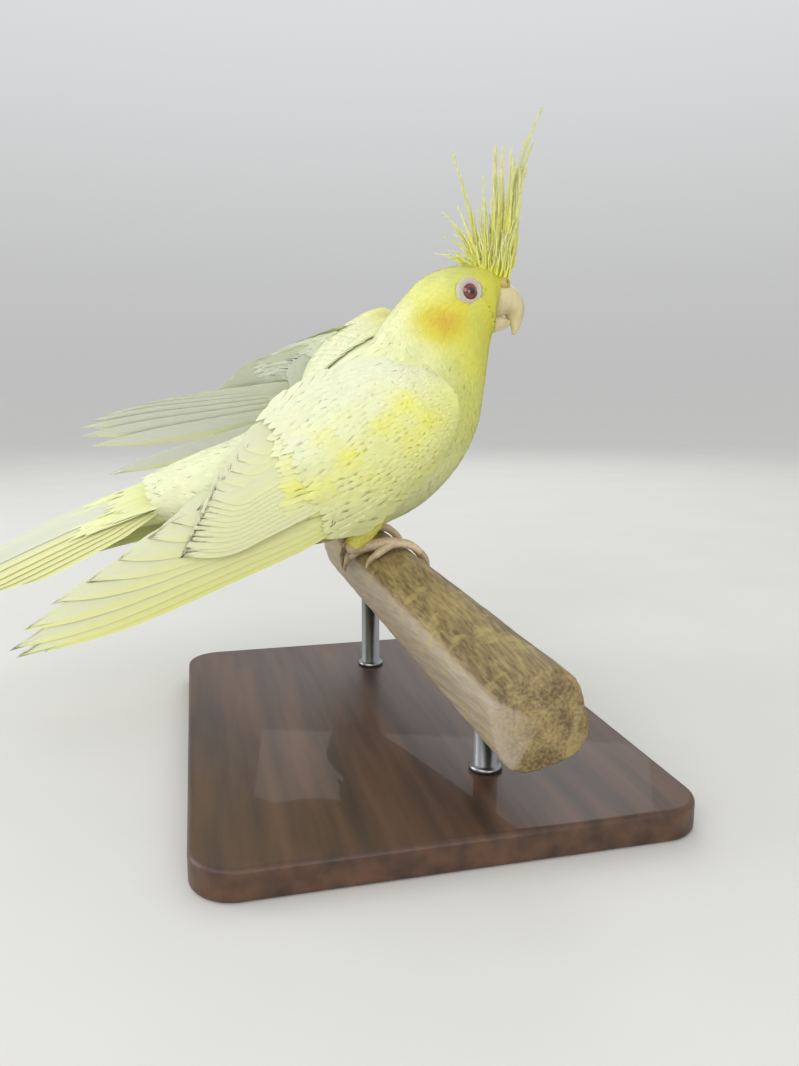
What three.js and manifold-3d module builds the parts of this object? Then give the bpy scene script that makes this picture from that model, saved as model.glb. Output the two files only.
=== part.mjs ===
// A cockatiel, life size, gripping a short cut length of perch on a plain display stand.
// Millimetres, +Z up. The bird faces +X, its left is +Y, and the origin is the middle of
// the underside of the base. The bird and the perch are drawn in a group of their own,
// whose origin is the axis of the perch under the feet.
import * as THREE from 'three';
import Module from 'manifold-3d';

const wasm = await Module();
wasm.setup();

// Driving dimensions
const GAP = 0.3; // clearance between touching pieces
const PERCH_AT = [5, 40, 50]; // axis of the perch under the feet, from the base's middle
const PERCH = {
  radius: 12.2,
  swell: 0.014, // how much the radius grows with each millimetre toward the near end
  slopeX: -0.133,
  slopeZ: 0.13,
  near: -118,
  far: 38,
  square: 0.06, // how far the section is from round
  ridge: 150, // direction of one of its four ridges
};
const BASE = { sizeX: 136, sizeY: 168, height: 9, corner: 12, bevel: 1.5 };
const ROD = { radius: 3.5, places: [-88, 12] }; // two rods, at these places along the perch
const EYE = { x: 30, y: 9.6, z: 103, radius: 4.3, lids: 2.8, forward: 0.22, upward: 0.06 };
const VANE = { thick: 0.52, base: 0.5, swell: 2.2, taper: 2.2, end: 0.03, spacing: 0.9, last: 0.995 };
const TAIL = { roll: 28, layer: 0.82, top: -0.35, droop: 0.006 };
const LID_RING = { radius: 3.8, breadth: 0.95, depth: 0.7 };
const CERE = { x: 44.6, y: 2.8, z: 107.6, radius: 2.4 };
const NOSTRIL = { x: 46, y: 4.3, z: 108.4, radius: 0.8 };

// Outline of the body from the root of the tail to the face: the back and the belly point
// of each cross-section, as x and z, and its half width
const BODY = [
  { back: [-80, 40.5], belly: [-76, 21], half: 10 },
  { back: [-66, 46.5], belly: [-60, 15.5], half: 15.5 },
  { back: [-52, 52], belly: [-42, 11.5], half: 21 },
  { back: [-36, 62], belly: [-24, 12], half: 25.5 },
  { back: [-22, 72.5], belly: [-4, 17], half: 28 },
  { back: [-10, 80], belly: [14, 25], half: 27.5 },
  { back: [-4, 85], belly: [28, 38], half: 24.5 },
  { back: [-1, 89], belly: [36.5, 53], half: 20 },
  { back: [3, 94.5], belly: [39.5, 68], half: 16.5 },
  { back: [8.5, 101], belly: [41, 80], half: 14.6 },
  { back: [16, 108.5], belly: [42, 87], half: 14 },
  { back: [26.5, 112.6], belly: [44, 90.5], half: 13 },
  { back: [36.5, 113.2], belly: [45.8, 92], half: 10.8 },
  { back: [43.5, 111.6], belly: [47, 94], half: 8.2 },
  { back: [46.6, 108.6], belly: [47.6, 96], half: 5.6 },
];
const NECK_FROM = 7;
const NECK_TO = 9;
const CUT = 0.035; // share of a section step left open where the neck is parted off
const CUTTER_OVERRUN = 0.6; // how far the cutter for the body runs on under the head
const BELLY_BREADTH = 0.06; // how much broader each cross-section is below its middle

// Small helpers
const rad = THREE.MathUtils.degToRad;
const vec = (x, y, z) => new THREE.Vector3(x, y, z);
const lerp = THREE.MathUtils.lerp;
const clamp01 = (t) => Math.min(1, Math.max(0, t));

// A value between rows of numbers, on a smooth curve through them
function smooth(rows, at) {
  const last = rows.length - 1;
  const i = Math.min(last - 1, Math.max(0, Math.floor(at)));
  const t = at - i;
  const before = rows[Math.max(0, i - 1)];
  const after = rows[Math.min(last, i + 2)];
  return rows[i].map((b, k) => {
    const c = rows[i + 1][k];
    const slopeB = (c - before[k]) / 2;
    const slopeC = (after[k] - b) / 2;
    const t2 = t * t;
    const t3 = t2 * t;
    const start = (2 * t3 - 3 * t2 + 1) * b + (t3 - 2 * t2 + t) * slopeB;
    return start + (3 * t2 - 2 * t3) * c + (t3 - t2) * slopeC;
  });
}

// A number from a table of pairs, place and value, in straight steps
function along(pairs, at) {
  if (at <= pairs[0][0]) return pairs[0][1];
  for (let i = 1; i < pairs.length; i++) {
    if (at <= pairs[i][0]) {
      const [a, va] = pairs[i - 1];
      const [b, vb] = pairs[i];
      return lerp(va, vb, (at - a) / (b - a));
    }
  }
  return pairs[pairs.length - 1][1];
}

// A repeatable draw between two numbers
let seed = 7;
function draw(low, high) {
  seed = (seed * 16807) % 2147483647;
  return lerp(low, high, seed / 2147483647);
}

// Closed solids

// A solid from rings of points, each of the same count, closed at both ends by a fan
function loft(rings) {
  const count = rings[0].length;
  const points = rings.flat();
  const faces = [];
  for (let r = 0; r < rings.length - 1; r++) {
    for (let k = 0; k < count; k++) {
      const a = r * count + k;
      const b = r * count + ((k + 1) % count);
      faces.push([a, b, b + count], [a, b + count, a + count]);
    }
  }
  for (const [r, flip] of [[0, true], [rings.length - 1, false]]) {
    const middle = vec(0, 0, 0);
    rings[r].forEach((p) => middle.add(p));
    const hub = points.push(middle.divideScalar(count)) - 1;
    for (let k = 0; k < count; k++) {
      const a = r * count + k;
      const b = r * count + ((k + 1) % count);
      faces.push(flip ? [b, a, hub] : [a, b, hub]);
    }
  }
  return solid(points, faces);
}

// Points and faces as a solid whose faces point out
function solid(points, faces) {
  let volume = 0;
  for (const [a, b, c] of faces) volume += points[a].dot(vec(0, 0, 0).crossVectors(points[b], points[c]));
  const out = volume < 0 ? faces.map(([a, b, c]) => [a, c, b]) : faces;
  const vertProperties = new Float32Array(points.flatMap((p) => [p.x, p.y, p.z]));
  const triVerts = new Uint32Array(out.flat());
  return new wasm.Manifold(new wasm.Mesh({ numProp: 3, vertProperties, triVerts }));
}

function fuse(solids) {
  return solids.reduce((sum, next) => sum.add(next));
}

// Only the largest closed surface of a solid
function largest(shape) {
  const pieces = shape.decompose();
  return pieces.reduce((best, piece) => (piece.volume() > best.volume() ? piece : best));
}

function geometryOf(shape) {
  const mesh = largest(shape).getMesh();
  const geometry = new THREE.BufferGeometry();
  const positions = new THREE.BufferAttribute(Float32Array.from(mesh.vertProperties), 3);
  geometry.setAttribute('position', positions);
  geometry.setIndex(new THREE.BufferAttribute(Uint32Array.from(mesh.triVerts), 1));
  geometry.computeVertexNormals();
  return geometry;
}

function ball(center, radius, around = 14, rows = 8) {
  const rings = [];
  for (let r = 1; r < rows; r++) {
    const a = (Math.PI * r) / rows;
    const middle = center.clone().add(vec(0, radius * Math.cos(a), 0));
    rings.push(circle(middle, radius * Math.sin(a), vec(0, 1, 0), around));
  }
  return loft(rings);
}

// Points on a circle round a centre, square to a direction
function circle(center, radius, direction, around, squash = 1) {
  const side = Math.abs(direction.y) > 0.8 ? vec(1, 0, 0) : vec(0, 1, 0);
  const u = side.clone().addScaledVector(direction, -side.dot(direction)).normalize();
  const v = vec(0, 0, 0).crossVectors(direction, u).normalize();
  return Array.from({ length: around }, (_, k) => {
    const a = (2 * Math.PI * k) / around;
    const p = center.clone().addScaledVector(u, radius * Math.cos(a));
    return p.addScaledVector(v, radius * squash * Math.sin(a));
  });
}

// A round limb through points, with a radius at each
function limb(points, radii, around = 8, squash = 1) {
  const rings = points.map((p, i) => {
    const before = points[Math.max(0, i - 1)];
    const after = points[Math.min(points.length - 1, i + 1)];
    const direction = after.clone().sub(before).normalize();
    return circle(p, radii[i], direction, around, squash);
  });
  return loft(rings);
}

// The body's cross-section at a place along it, grown by so much all round
const bodyRows = BODY.map((s) => [...s.back, ...s.belly, s.half]);
function bodyRing(at, grow, around) {
  const [backX, backZ, bellyX, bellyZ, half] = smooth(bodyRows, at);
  const middle = vec((backX + bellyX) / 2, 0, (backZ + bellyZ) / 2);
  const up = vec(backX - bellyX, 0, backZ - bellyZ).multiplyScalar(0.5);
  const depth = up.length() + grow;
  up.normalize();
  return Array.from({ length: around }, (_, k) => {
    const a = (2 * Math.PI * k) / around;
    const wide = (half + grow) * (1 - BELLY_BREADTH * Math.sin(a));
    const p = middle.clone().addScaledVector(up, depth * Math.sin(a));
    p.y += wide * Math.cos(a);
    return p;
  });
}

function bodyLoft(from, to, steps, grow = 0, around = 28) {
  const rings = [];
  for (let i = 0; i <= steps; i++) rings.push(bodyRing(lerp(from, to, i / steps), grow, around));
  return loft(rings);
}

// The body a little larger, to cut what meets it
const bodyCutter = bodyLoft(-CUT, NECK_TO + CUTTER_OVERRUN, 24, GAP);
const headCutter = bodyLoft(NECK_TO, BODY.length - 1 + CUT, 20, GAP);

// A feather's vane on a surface. The surface is a function of two flat coordinates and a
// height; root and tip are flat coordinates; lift is the height of the vane's leading edge
// at the root and at the tip, and slant is how much lower its other edge lies
function vane(surface, { root, tip, width, bow = 0, lift, slant = 0, steps = 5, blunt = 0.55 }) {
  const axis = [tip[0] - root[0], tip[1] - root[1]];
  const length = Math.hypot(...axis);
  const side = [-axis[1] / length, axis[0] / length];
  const rings = [];
  for (let i = 0; i <= steps; i++) {
    const t = i === steps ? VANE.last : (i / steps) ** VANE.spacing;
    const rounding = 1 - clamp01((t - blunt) / (1 - blunt)) ** VANE.taper;
    const swell = Math.min(1, VANE.base + VANE.swell * t) * rounding + VANE.end;
    const half = (width / 2) * swell;
    const bend = bow * 4 * t * (1 - t);
    const height = lerp(lift[0], lift[1], t);
    const corner = (across, up) => {
      const x = root[0] + axis[0] * t + side[0] * (bend + across * half);
      const y = root[1] + axis[1] * t + side[1] * (bend + across * half);
      return surface(x, y, height - (slant * (across + 1) * swell) / 2 + (up * VANE.thick) / 2);
    };
    rings.push([corner(-1, 1), corner(1, 1), corner(1, -1), corner(-1, -1)]);
  }
  return bladeLoft(rings);
}

// Rings of four corners as one thin blade, with both faces split alike
function bladeLoft(rings) {
  const points = rings.flat();
  const faces = [];
  for (let r = 0; r < rings.length - 1; r++) {
    const a = r * 4;
    const b = a + 4;
    faces.push([a, a + 1, b + 1], [a, b + 1, b]);
    faces.push([a + 3, b + 2, a + 2], [a + 3, b + 3, b + 2]);
    faces.push([a + 1, a + 2, b + 2], [a + 1, b + 2, b + 1]);
    faces.push([a + 3, a, b], [a + 3, b, b + 3]);
  }
  const last = (rings.length - 1) * 4;
  faces.push([0, 3, 2], [0, 2, 1]);
  faces.push([last, last + 1, last + 2], [last, last + 2, last + 3]);
  return solid(points, faces);
}

// A surface point pushed out along the surface's own normal
function raised(base, outward) {
  return (p, q, h) => {
    const here = base(p, q);
    const dp = base(p + 1, q).sub(here);
    const dq = base(p, q + 1).sub(here);
    const normal = dp.cross(dq).normalize();
    if (normal.dot(outward) < 0) normal.negate();
    return here.addScaledVector(normal, h);
  };
}

// Wings. Flat coordinates: p from the wrist to the tip, q from the leading edge's line to
// the trailing edge

// The right wing lies half folded along the flank. Its surface stands out from the middle
// plane by the first table, and curves in on both sides of its ridge by the second
const RIGHT = { wrist: vec(20, 0, 62), tip: vec(-132, 0, -12), ridge: -4 };
const rightP = RIGHT.tip.clone().sub(RIGHT.wrist).normalize();
const rightQ = vec(rightP.z, 0, -rightP.x);
const RIGHT_OUT = [[-5, 25], [10, 30], [35, 32], [60, 31], [90, 28], [130, 25], [175, 22]];
const RIGHT_CURVE = [[0, 0.013], [40, 0.011], [80, 0.006], [175, 0.003]];
function rightBase(p, q) {
  const away = along(RIGHT_OUT, p) - along(RIGHT_CURVE, p) * (q - RIGHT.ridge) ** 2;
  return RIGHT.wrist.clone().addScaledVector(rightP, p).addScaledVector(rightQ, q).setY(-away);
}
const rightSurface = raised(rightBase, vec(0, -1, 0));

// The left wing is held off the back, its tip well out to the side
const LEFT = { wrist: vec(26, 42, 79), tip: vec(-117.5, 85, 55.5), slope: 44, ridge: 4, hollow: 0.004 };
const leftP = LEFT.tip.clone().sub(LEFT.wrist).normalize();
const leftQ = vec(0, -Math.cos(rad(LEFT.slope)), Math.sin(rad(LEFT.slope)));
leftQ.addScaledVector(leftP, -leftQ.dot(leftP)).normalize();
const leftUp = vec(0, 0, 0).crossVectors(leftQ, leftP).normalize();
if (leftUp.z < 0) leftUp.negate();
function leftBase(p, q) {
  const hollow = LEFT.hollow * (q - LEFT.ridge) ** 2;
  const flat = LEFT.wrist.clone().addScaledVector(leftP, p).addScaledVector(leftQ, q);
  return flat.addScaledVector(leftUp, -hollow);
}
const leftSurface = raised(leftBase, leftUp);

// The fleshy part of a wing with its small coverts: place along it, then the middle, the
// half breadth and the half thickness of its cross-section
const RIGHT_CORE = [
  [-4, 4, 4, 1.5],
  [2, 5, 13, 4],
  [12, 5, 20, 5.5],
  [25, 3, 23.5, 5.5],
  [40, 0, 22, 4],
  [54, -1, 18, 2.2],
  [62, -1, 12, 1],
];
const LEFT_CORE = [
  [-4, 3, 4, 1.5],
  [2, 6, 13, 3.5],
  [14, 11, 22, 5],
  [28, 10, 23, 5],
  [42, 5, 19, 3.6],
  [54, 1, 15, 2],
  [62, -1, 9, 1],
];
function wingCore(surface, sections, around = 14) {
  const rings = sections.map(([p, q, breadth, thick]) =>
    Array.from({ length: around }, (_, k) => {
      const a = (2 * Math.PI * k) / around;
      return surface(p, q + breadth * Math.cos(a), thick * (Math.sin(a) - 1));
    })
  );
  return loft(rings);
}

// The tiers of a wing, each from its outermost feather to its innermost: how many, where
// the first and the last root and tip are, width, height of the leading edge at root and
// tip, and how much lower the other edge is. The primaries have a tip each
const RIGHT_TIERS = [
  {
    count: 6, roots: [[20, -1], [44, 14]],
    tips: [[104, -2], [90, 9]],
    width: [12.5, 12.5], lift: [-1, 0], slant: 4.4,
  },
  {
    count: 3, roots: [[44, 17], [40, 22]],
    tips: [[84, 13], [72, 19]],
    width: [12, 11], lift: [-0.6, 0.4], slant: 3.2,
  },
  {
    count: 5, roots: [[18, -4], [36, 19]],
    tips: [[61, -7], [56, 18]],
    width: [10, 9], lift: [-1, 1.9], slant: 1.6, steps: 3,
  },
  {
    count: 4, roots: [[16, -10], [30, -19]],
    tips: [[52, -13], [60, -21]],
    width: [8, 6], lift: [-1.2, 0.5], slant: 1.4, steps: 3,
  },
  {
    count: 5, roots: [[12, -4], [26, 24]],
    tips: [[44, -9], [41, 24]],
    width: [9.5, 9.5], lift: [-1, 2.4], slant: 1.2, steps: 3,
  },
];
const RIGHT_PRIMARIES = {
  roots: [[36, -19.5], [14, -3]],
  tips: [
    [160, -10.8], [168, -8.2], [169, -5], [162, -1], [150, 2.5],
    [137, 4], [124, 6], [113, 8], [103, 9.5], [94, 9],
  ],
  width: [9.5, 13],
  lift: [-5.4, -3.6],
  slant: 3.6,
};
const LEFT_TIERS = [
  {
    count: 6, roots: [[20, 1], [42, 16]],
    tips: [[97, -5], [72, 15]],
    width: [12.5, 12.5], lift: [-1, 0], slant: 3.8,
  },
  {
    count: 3, roots: [[40, 19], [36, 25]],
    tips: [[68, 19], [58, 25]],
    width: [12, 11], lift: [-0.6, 0.4], slant: 3.2,
  },
  {
    count: 5, roots: [[18, -3], [34, 22]],
    tips: [[58, -8], [51, 23]],
    width: [10, 9], lift: [-1, 1.9], slant: 1.6, steps: 3,
  },
  {
    count: 4, roots: [[16, -9], [28, -13]],
    tips: [[50, -15], [56, -22]],
    width: [8, 6], lift: [-1.2, 0.5], slant: 1.4, steps: 3,
  },
  {
    count: 5, roots: [[12, -3], [25, 26]],
    tips: [[43, -8], [39, 29]],
    width: [9.5, 9.5], lift: [-1, 2.4], slant: 1.2, steps: 3,
  },
];
const LEFT_PRIMARIES = {
  roots: [[34, -13], [14, -2]],
  tips: [
    [149, -31], [152, -14], [153, -7], [151, -2], [144, 1.5],
    [136, 3.5], [127, 4.5], [118, 4.5], [109, 4], [101, 3],
  ],
  width: [9, 13],
  lift: [-5.2, -3.6],
  slant: 3.4,
};
const SECONDARY_ROUNDING = 0.7;
const PRIMARY_ROUNDING = [0.35, 0.6];
const STAGGER = 0.8; // how far the tips of a tier are out of line
function pairBetween(pair, t) {
  return [lerp(pair[0][0], pair[1][0], t), lerp(pair[0][1], pair[1][1], t)];
}
function tier(surface, { count, roots, tips, width, lift, slant, steps = 5 }) {
  return Array.from({ length: count }, (_, i) => {
    const t = i / (count - 1);
    const tip = pairBetween(tips, t);
    tip[0] += draw(-STAGGER, STAGGER);
    const root = pairBetween(roots, t);
    const wide = lerp(width[0], width[1], t);
    return vane(surface, { root, tip, width: wide, lift, slant, steps, blunt: SECONDARY_ROUNDING });
  });
}
function primaries(surface, { roots, tips, width, lift, slant }) {
  return tips.map((tip, i) => {
    const t = i / (tips.length - 1);
    const wide = lerp(width[0], width[1], t);
    const blunt = lerp(PRIMARY_ROUNDING[0], PRIMARY_ROUNDING[1], t);
    return vane(surface, { root: pairBetween(roots, t), tip, width: wide, lift, slant, blunt });
  });
}
function rightWing() {
  const core = wingCore(rightSurface, RIGHT_CORE);
  const feathers = RIGHT_TIERS.flatMap((row) => tier(rightSurface, row));
  return fuse([core, ...primaries(rightSurface, RIGHT_PRIMARIES), ...feathers]).subtract(bodyCutter);
}

// The shoulder that joins the lifted left wing to the back: middle, half length along the
// body and half thickness of each cross-section
const SHOULDER = [
  [vec(-8, 4, 70), 26, 13],
  [vec(-8, 17, 80), 24, 9],
  [vec(-6, 28, 87), 21, 6.5],
  [vec(-3, 38, 87), 15, 5],
];
const SHOULDER_ALONG = vec(-0.8, 0, -0.6);
function shoulder(around = 14) {
  const rings = SHOULDER.map(([middle, long, thick], i) => {
    const before = SHOULDER[Math.max(0, i - 1)][0];
    const after = SHOULDER[Math.min(SHOULDER.length - 1, i + 1)][0];
    const normal = vec(0, 0, 0).crossVectors(after.clone().sub(before), SHOULDER_ALONG).normalize();
    return Array.from({ length: around }, (_, k) => {
      const a = (2 * Math.PI * k) / around;
      const p = middle.clone().addScaledVector(SHOULDER_ALONG, long * Math.cos(a));
      return p.addScaledVector(normal, thick * Math.sin(a));
    });
  });
  return loft(rings);
}

// Scapular feathers lie back from the shoulder, between the back and the wing
const SCAPULARS = {
  count: 4,
  roots: [vec(-14, 10, 80), vec(-14, 31, 90.5)],
  tips: [vec(-50, 11, 64.5), vec(-44, 40, 78)],
  across: [vec(0, 1, 0.2), vec(0, 1, 0.05)],
  places: [0, 0.5, 0.8, 1],
  arch: [0, 2.5, 1.4, 0],
  widths: [8, 11, 9, 3],
};
function scapulars() {
  return Array.from({ length: SCAPULARS.count }, (_, i) => {
    const t = i / (SCAPULARS.count - 1);
    const [root, tip, across] = ['roots', 'tips', 'across'].map((key) => {
      const [inner, outer] = SCAPULARS[key];
      return inner.clone().lerp(outer, t);
    });
    const points = SCAPULARS.places.map((at, k) => {
      const arch = vec(0, 0, SCAPULARS.arch[k]);
      return root.clone().lerp(tip, at).add(arch);
    });
    return blade(points, across, SCAPULARS.widths);
  });
}
function leftWing() {
  const feathers = LEFT_TIERS.flatMap((row) => tier(leftSurface, row));
  const solids = [wingCore(leftSurface, LEFT_CORE), shoulder(), ...scapulars()];
  return fuse([...solids, ...primaries(leftSurface, LEFT_PRIMARIES), ...feathers]).subtract(bodyCutter);
}

// Tail. Flat coordinates: s along its bent middle line, and across to the left
const tailCurve = new THREE.CubicBezierCurve3(
  vec(-76, 0, 34.5),
  vec(-100, 0, 27.3),
  vec(-140, 1, 8.6),
  vec(-190, 2, -17)
);
const tailLength = tailCurve.getLength();
const tailAcross = vec(0, Math.cos(rad(TAIL.roll)), Math.sin(rad(TAIL.roll)));
function tailBase(s, across) {
  const t = s / tailLength;
  const here = tailCurve.getPointAt(clamp01(t));
  if (t < 0) here.addScaledVector(tailCurve.getTangentAt(0), s);
  return here.addScaledVector(tailAcross, across).add(vec(0, 0, -TAIL.droop * across * across));
}
const tailSurface = raised(tailBase, vec(0, 0, 1));

// The fleshy root of the tail: place, middle, half breadth and half thickness
const TAIL_ROOT = [[0.4, 0, 9.5, 7], [8, 0, 10, 5], [20, 0, 10, 3], [32, 0, 9, 1.2]];

// The six pairs of tail feathers, from the middle out: where the tip is along and across
const TAIL_TIPS = [[137, 1.2], [110, 4], [90, 6.5], [80, 8.5], [71, 10.6], [62, 12.2]];
const TAIL_FEATHERS = { root: 4, first: 1, step: 1.1, bow: 0.8, bowStep: 0.2 };
const TAIL_MIDDLE = { width: 8.5, steps: 7, blunt: 0.3 };
const TAIL_OTHERS = { width: 10.5, steps: 5, blunt: 0.42 };
function tailFeather(pair, side) {
  const [s, across] = TAIL_TIPS[pair];
  const middle = pair === 0;
  const level = TAIL.top - TAIL.layer * pair + (middle && side > 0 ? TAIL.layer : 0);
  const shape = middle ? TAIL_MIDDLE : TAIL_OTHERS;
  const root = [TAIL_FEATHERS.root, side * (TAIL_FEATHERS.first + TAIL_FEATHERS.step * pair)];
  const bow = side * (TAIL_FEATHERS.bow + TAIL_FEATHERS.bowStep * pair);
  return vane(tailSurface, { root, tip: [s, side * across], bow, lift: [level, level], ...shape });
}
function tail() {
  const feathers = [-1, 1].flatMap((side) => TAIL_TIPS.map((_, pair) => tailFeather(pair, side)));
  return fuse([wingCore(tailSurface, TAIL_ROOT, 16), ...feathers]).subtract(bodyCutter);
}

// Tail coverts and the soft lobes of the rump, which grow from the torso: where the roots
// and the tips lie along the tail, and across
const UPPER_COVERTS = {
  across: [-9, -5, -1.5, 2, 5.5, 9],
  root: -16,
  tips: [24, 31],
  width: 7.5,
  lift: [1, 1.75],
};
const UNDER_COVERTS = {
  across: [-7, -2.5, 2.5, 7],
  root: -10,
  tips: [30, 38],
  width: 8,
  lift: [-15.5, -8.8],
};
const COVERTS_GATHERED = 0.7; // share of a covert's place across that its root has
const RUMP_LOBES = {
  roots: [vec(-46, 15, 42), vec(-48, 13, 36)],
  tips: [vec(-66, 17.5, 39.5), vec(-67, 16.3, 34)],
  bulge: 1.5,
  across: vec(-0.3, 0, 1),
  widths: [7, 10, 5],
};
function tailCoverts({ across, root, tips, width, lift }) {
  return across.map((place, i) =>
    vane(tailSurface, {
      root: [root, place * COVERTS_GATHERED],
      tip: [tips[i % 2], place],
      width,
      lift,
      steps: 3,
    })
  );
}
function rumpLobe(i, side) {
  const mirror = vec(1, side, 1);
  const root = RUMP_LOBES.roots[i].clone().multiply(mirror);
  const tip = RUMP_LOBES.tips[i].clone().multiply(mirror);
  const middle = root.clone().lerp(tip, 0.5);
  middle.y += side * RUMP_LOBES.bulge;
  return blade([root, middle, tip], RUMP_LOBES.across, RUMP_LOBES.widths);
}
function torso() {
  const coverts = [...tailCoverts(UPPER_COVERTS), ...tailCoverts(UNDER_COVERTS)];
  const lobes = [-1, 1].flatMap((side) => RUMP_LOBES.roots.map((_, i) => rumpLobe(i, side)));
  return fuse([bodyLoft(0, NECK_FROM, 13, 0, 26), ...coverts, ...lobes]);
}

// A flat blade along points, its width set at each, with across the direction of its breadth
function blade(points, across, widths) {
  const rings = points.map((p, i) => {
    const before = points[Math.max(0, i - 1)];
    const after = points[Math.min(points.length - 1, i + 1)];
    const direction = after.clone().sub(before).normalize();
    const wide = across.clone().addScaledVector(direction, -across.dot(direction)).normalize();
    const normal = vec(0, 0, 0).crossVectors(direction, wide).normalize();
    const corner = (side, up) =>
      p.clone().addScaledVector(wide, (side * widths[i]) / 2).addScaledVector(normal, (up * VANE.thick) / 2);
    return [corner(-1, 1), corner(1, 1), corner(1, -1), corner(-1, -1)];
  });
  return bladeLoft(rings);
}

// Head
const EYES = [-1, 1].map((side) => vec(EYE.x, side * EYE.y, EYE.z));
const CREST = {
  count: 15,
  front: 43.6,
  back: 31,
  crown: [[31, 111], [38, 111], [41, 110], [44, 108]],
  length: [
    [0, 36], [0.1, 52], [0.2, 68], [0.3, 52], [0.45, 48],
    [0.58, 36], [0.7, 43], [0.8, 22], [0.9, 15], [1, 9],
  ],
  rootLean: [[0, 38], [0.2, 27], [0.4, 11], [0.6, -6], [0.8, -24], [1, -48]],
  tipLean: [[0, 2], [0.2, 14], [0.4, 6], [0.6, 3], [0.8, -10], [1, -60]],
  width: [4, 2.6],
  profile: [0.7, 1, 0.95, 0.7, 0.16],
  fan: 0.012,
};
function crestFeather(k) {
  const t = k / (CREST.count - 1);
  const x = lerp(CREST.front, CREST.back, t);
  const y = ((k * 3) % 5) - 2;
  const points = [vec(x, y, along(CREST.crown, x))];
  const widths = CREST.profile.map((w) => w * lerp(CREST.width[0], CREST.width[1], t));
  const last = widths.length - 1;
  const step = along(CREST.length, t) / last;
  for (let i = 1; i <= last; i++) {
    const angle = rad(lerp(along(CREST.rootLean, t), along(CREST.tipLean, t), (i - 1) / (last - 1)));
    const onward = vec(Math.sin(angle), CREST.fan * y, Math.cos(angle));
    points.push(points[i - 1].clone().addScaledVector(onward, step));
  }
  return blade(points, vec(1, 0, 0), widths);
}
function eyeAxis(side) {
  return vec(EYE.forward, side, EYE.upward).normalize();
}
// The ring of bare skin and lids round an eye
function lids(eye, side, around = 16, count = 6) {
  const axis = eyeAxis(side);
  const middle = eye.clone().addScaledVector(axis, EYE.lids);
  const points = [];
  const faces = [];
  circle(middle, LID_RING.radius, axis, around).forEach((p, k) => {
    const out = p.clone().sub(middle).normalize();
    for (let j = 0; j < count; j++) {
      const a = (2 * Math.PI * j) / count;
      const ringPoint = p.clone().addScaledVector(out, LID_RING.breadth * Math.cos(a));
      points.push(ringPoint.addScaledVector(axis, LID_RING.depth * Math.sin(a)));
      const next = ((k + 1) % around) * count;
      const b = (j + 1) % count;
      faces.push([k * count + j, next + j, next + b], [k * count + j, next + b, k * count + b]);
    }
  });
  return solid(points, faces);
}
function head() {
  const skull = bodyLoft(NECK_TO + CUT, BODY.length - 1, 11, 0, 26);
  const crest = Array.from({ length: CREST.count }, (_, k) => crestFeather(k));
  const rings = EYES.map((eye, i) => lids(eye, [-1, 1][i]));
  const bill = billLoft(UPPER_BILL, GAP);
  const pair = ({ x, y, z, radius }) => [-1, 1].map((side) => ball(vec(x, side * y, z), radius, 10, 6));
  const cere = pair(CERE).map((half) => half.subtract(bill));
  const sockets = EYES.map((eye) => ball(eye, EYE.radius + GAP));
  const nostrils = pair(NOSTRIL);
  return fuse([skull, ...rings, ...cere, ...crest]).subtract(fuse([...sockets, ...nostrils]));
}

// Bill: the culmen's bend as place, half width and half depth of each cross-section
const UPPER_BILL = [
  [vec(43, 0, 103), 5.4, 5.5],
  [vec(49.5, 0, 102.5), 5, 5],
  [vec(53, 0, 99.5), 4, 3.8],
  [vec(54, 0, 95.5), 2.8, 2.6],
  [vec(53.4, 0, 91.8), 1.5, 1.6],
  [vec(52.3, 0, 88.6), 0.5, 0.5],
];
const LOWER_BILL = [
  [vec(42, 0, 95), 4.4, 3],
  [vec(46.5, 0, 93.3), 3.8, 2.6],
  [vec(49.3, 0, 92.3), 2.6, 1.7],
  [vec(50.6, 0, 91.9), 1.4, 0.9],
];
function billLoft(sections, grow = 0) {
  const points = sections.map(([p]) => p);
  const rings = sections.map(([p, wide, deep], i) => {
    const before = points[Math.max(0, i - 1)];
    const after = points[Math.min(points.length - 1, i + 1)];
    const direction = after.clone().sub(before).normalize();
    return circle(p, wide + grow, direction, 14, (deep + grow) / (wide + grow));
  });
  return loft(rings);
}

// Legs and feet
const LEG_Y = [-12, 11];
const HUB_ABOVE = 2.4; // middle of the foot above the perch
const TOE = { above: 2, shares: [0, 0.35, 0.7, 1], radii: [1.9, 1.7, 1.6, 1.35], squash: 0.9 };
const CLAW = { above: 2.1, arch: 1.2, shares: [0, 0.4, 0.75, 1], radii: [1.05, 0.85, 0.55, 0.2], clear: 1.4 };
const SHANK = { front: vec(1.5, 0, -0.2), back: vec(-7.5, 0, -0.6), radii: [1.6, 2.3, 2.1] };
const THIGH = { xz: [[-4, 30], [-9, 19], [-13, 12.2]], radii: [8, 6, 3.2], squash: 0.9 };
const ANKLE = { xz: [[-13, 12], [-9.5, 13.5]], radii: [2.6, 2.6], squash: 1 };
const TOES = [
  { name: '2', from: 92, to: 48, splay: 0.28, claw: 5 },
  { name: '3', from: 88, to: 26, splay: -0.1, claw: 6.5 },
  { name: '1', from: 90, to: 126, splay: 0.75, claw: 4.5 },
  { name: '4', from: 94, to: 150, splay: -0.6, claw: 6 },
];
function aroundPerch(y, angle, above) {
  const a = rad(angle);
  const r = perchRadius(y, a) + above;
  return perchAxis(y).add(vec(r * Math.cos(a), 0, r * Math.sin(a)));
}
function toePoint(toe, y, outward, share, above) {
  const angle = lerp(toe.from, toe.to, share);
  const run = (Math.abs(angle - toe.from) * Math.PI * PERCH.radius) / 180;
  return aroundPerch(y - outward * toe.splay * run, angle, above);
}
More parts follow.
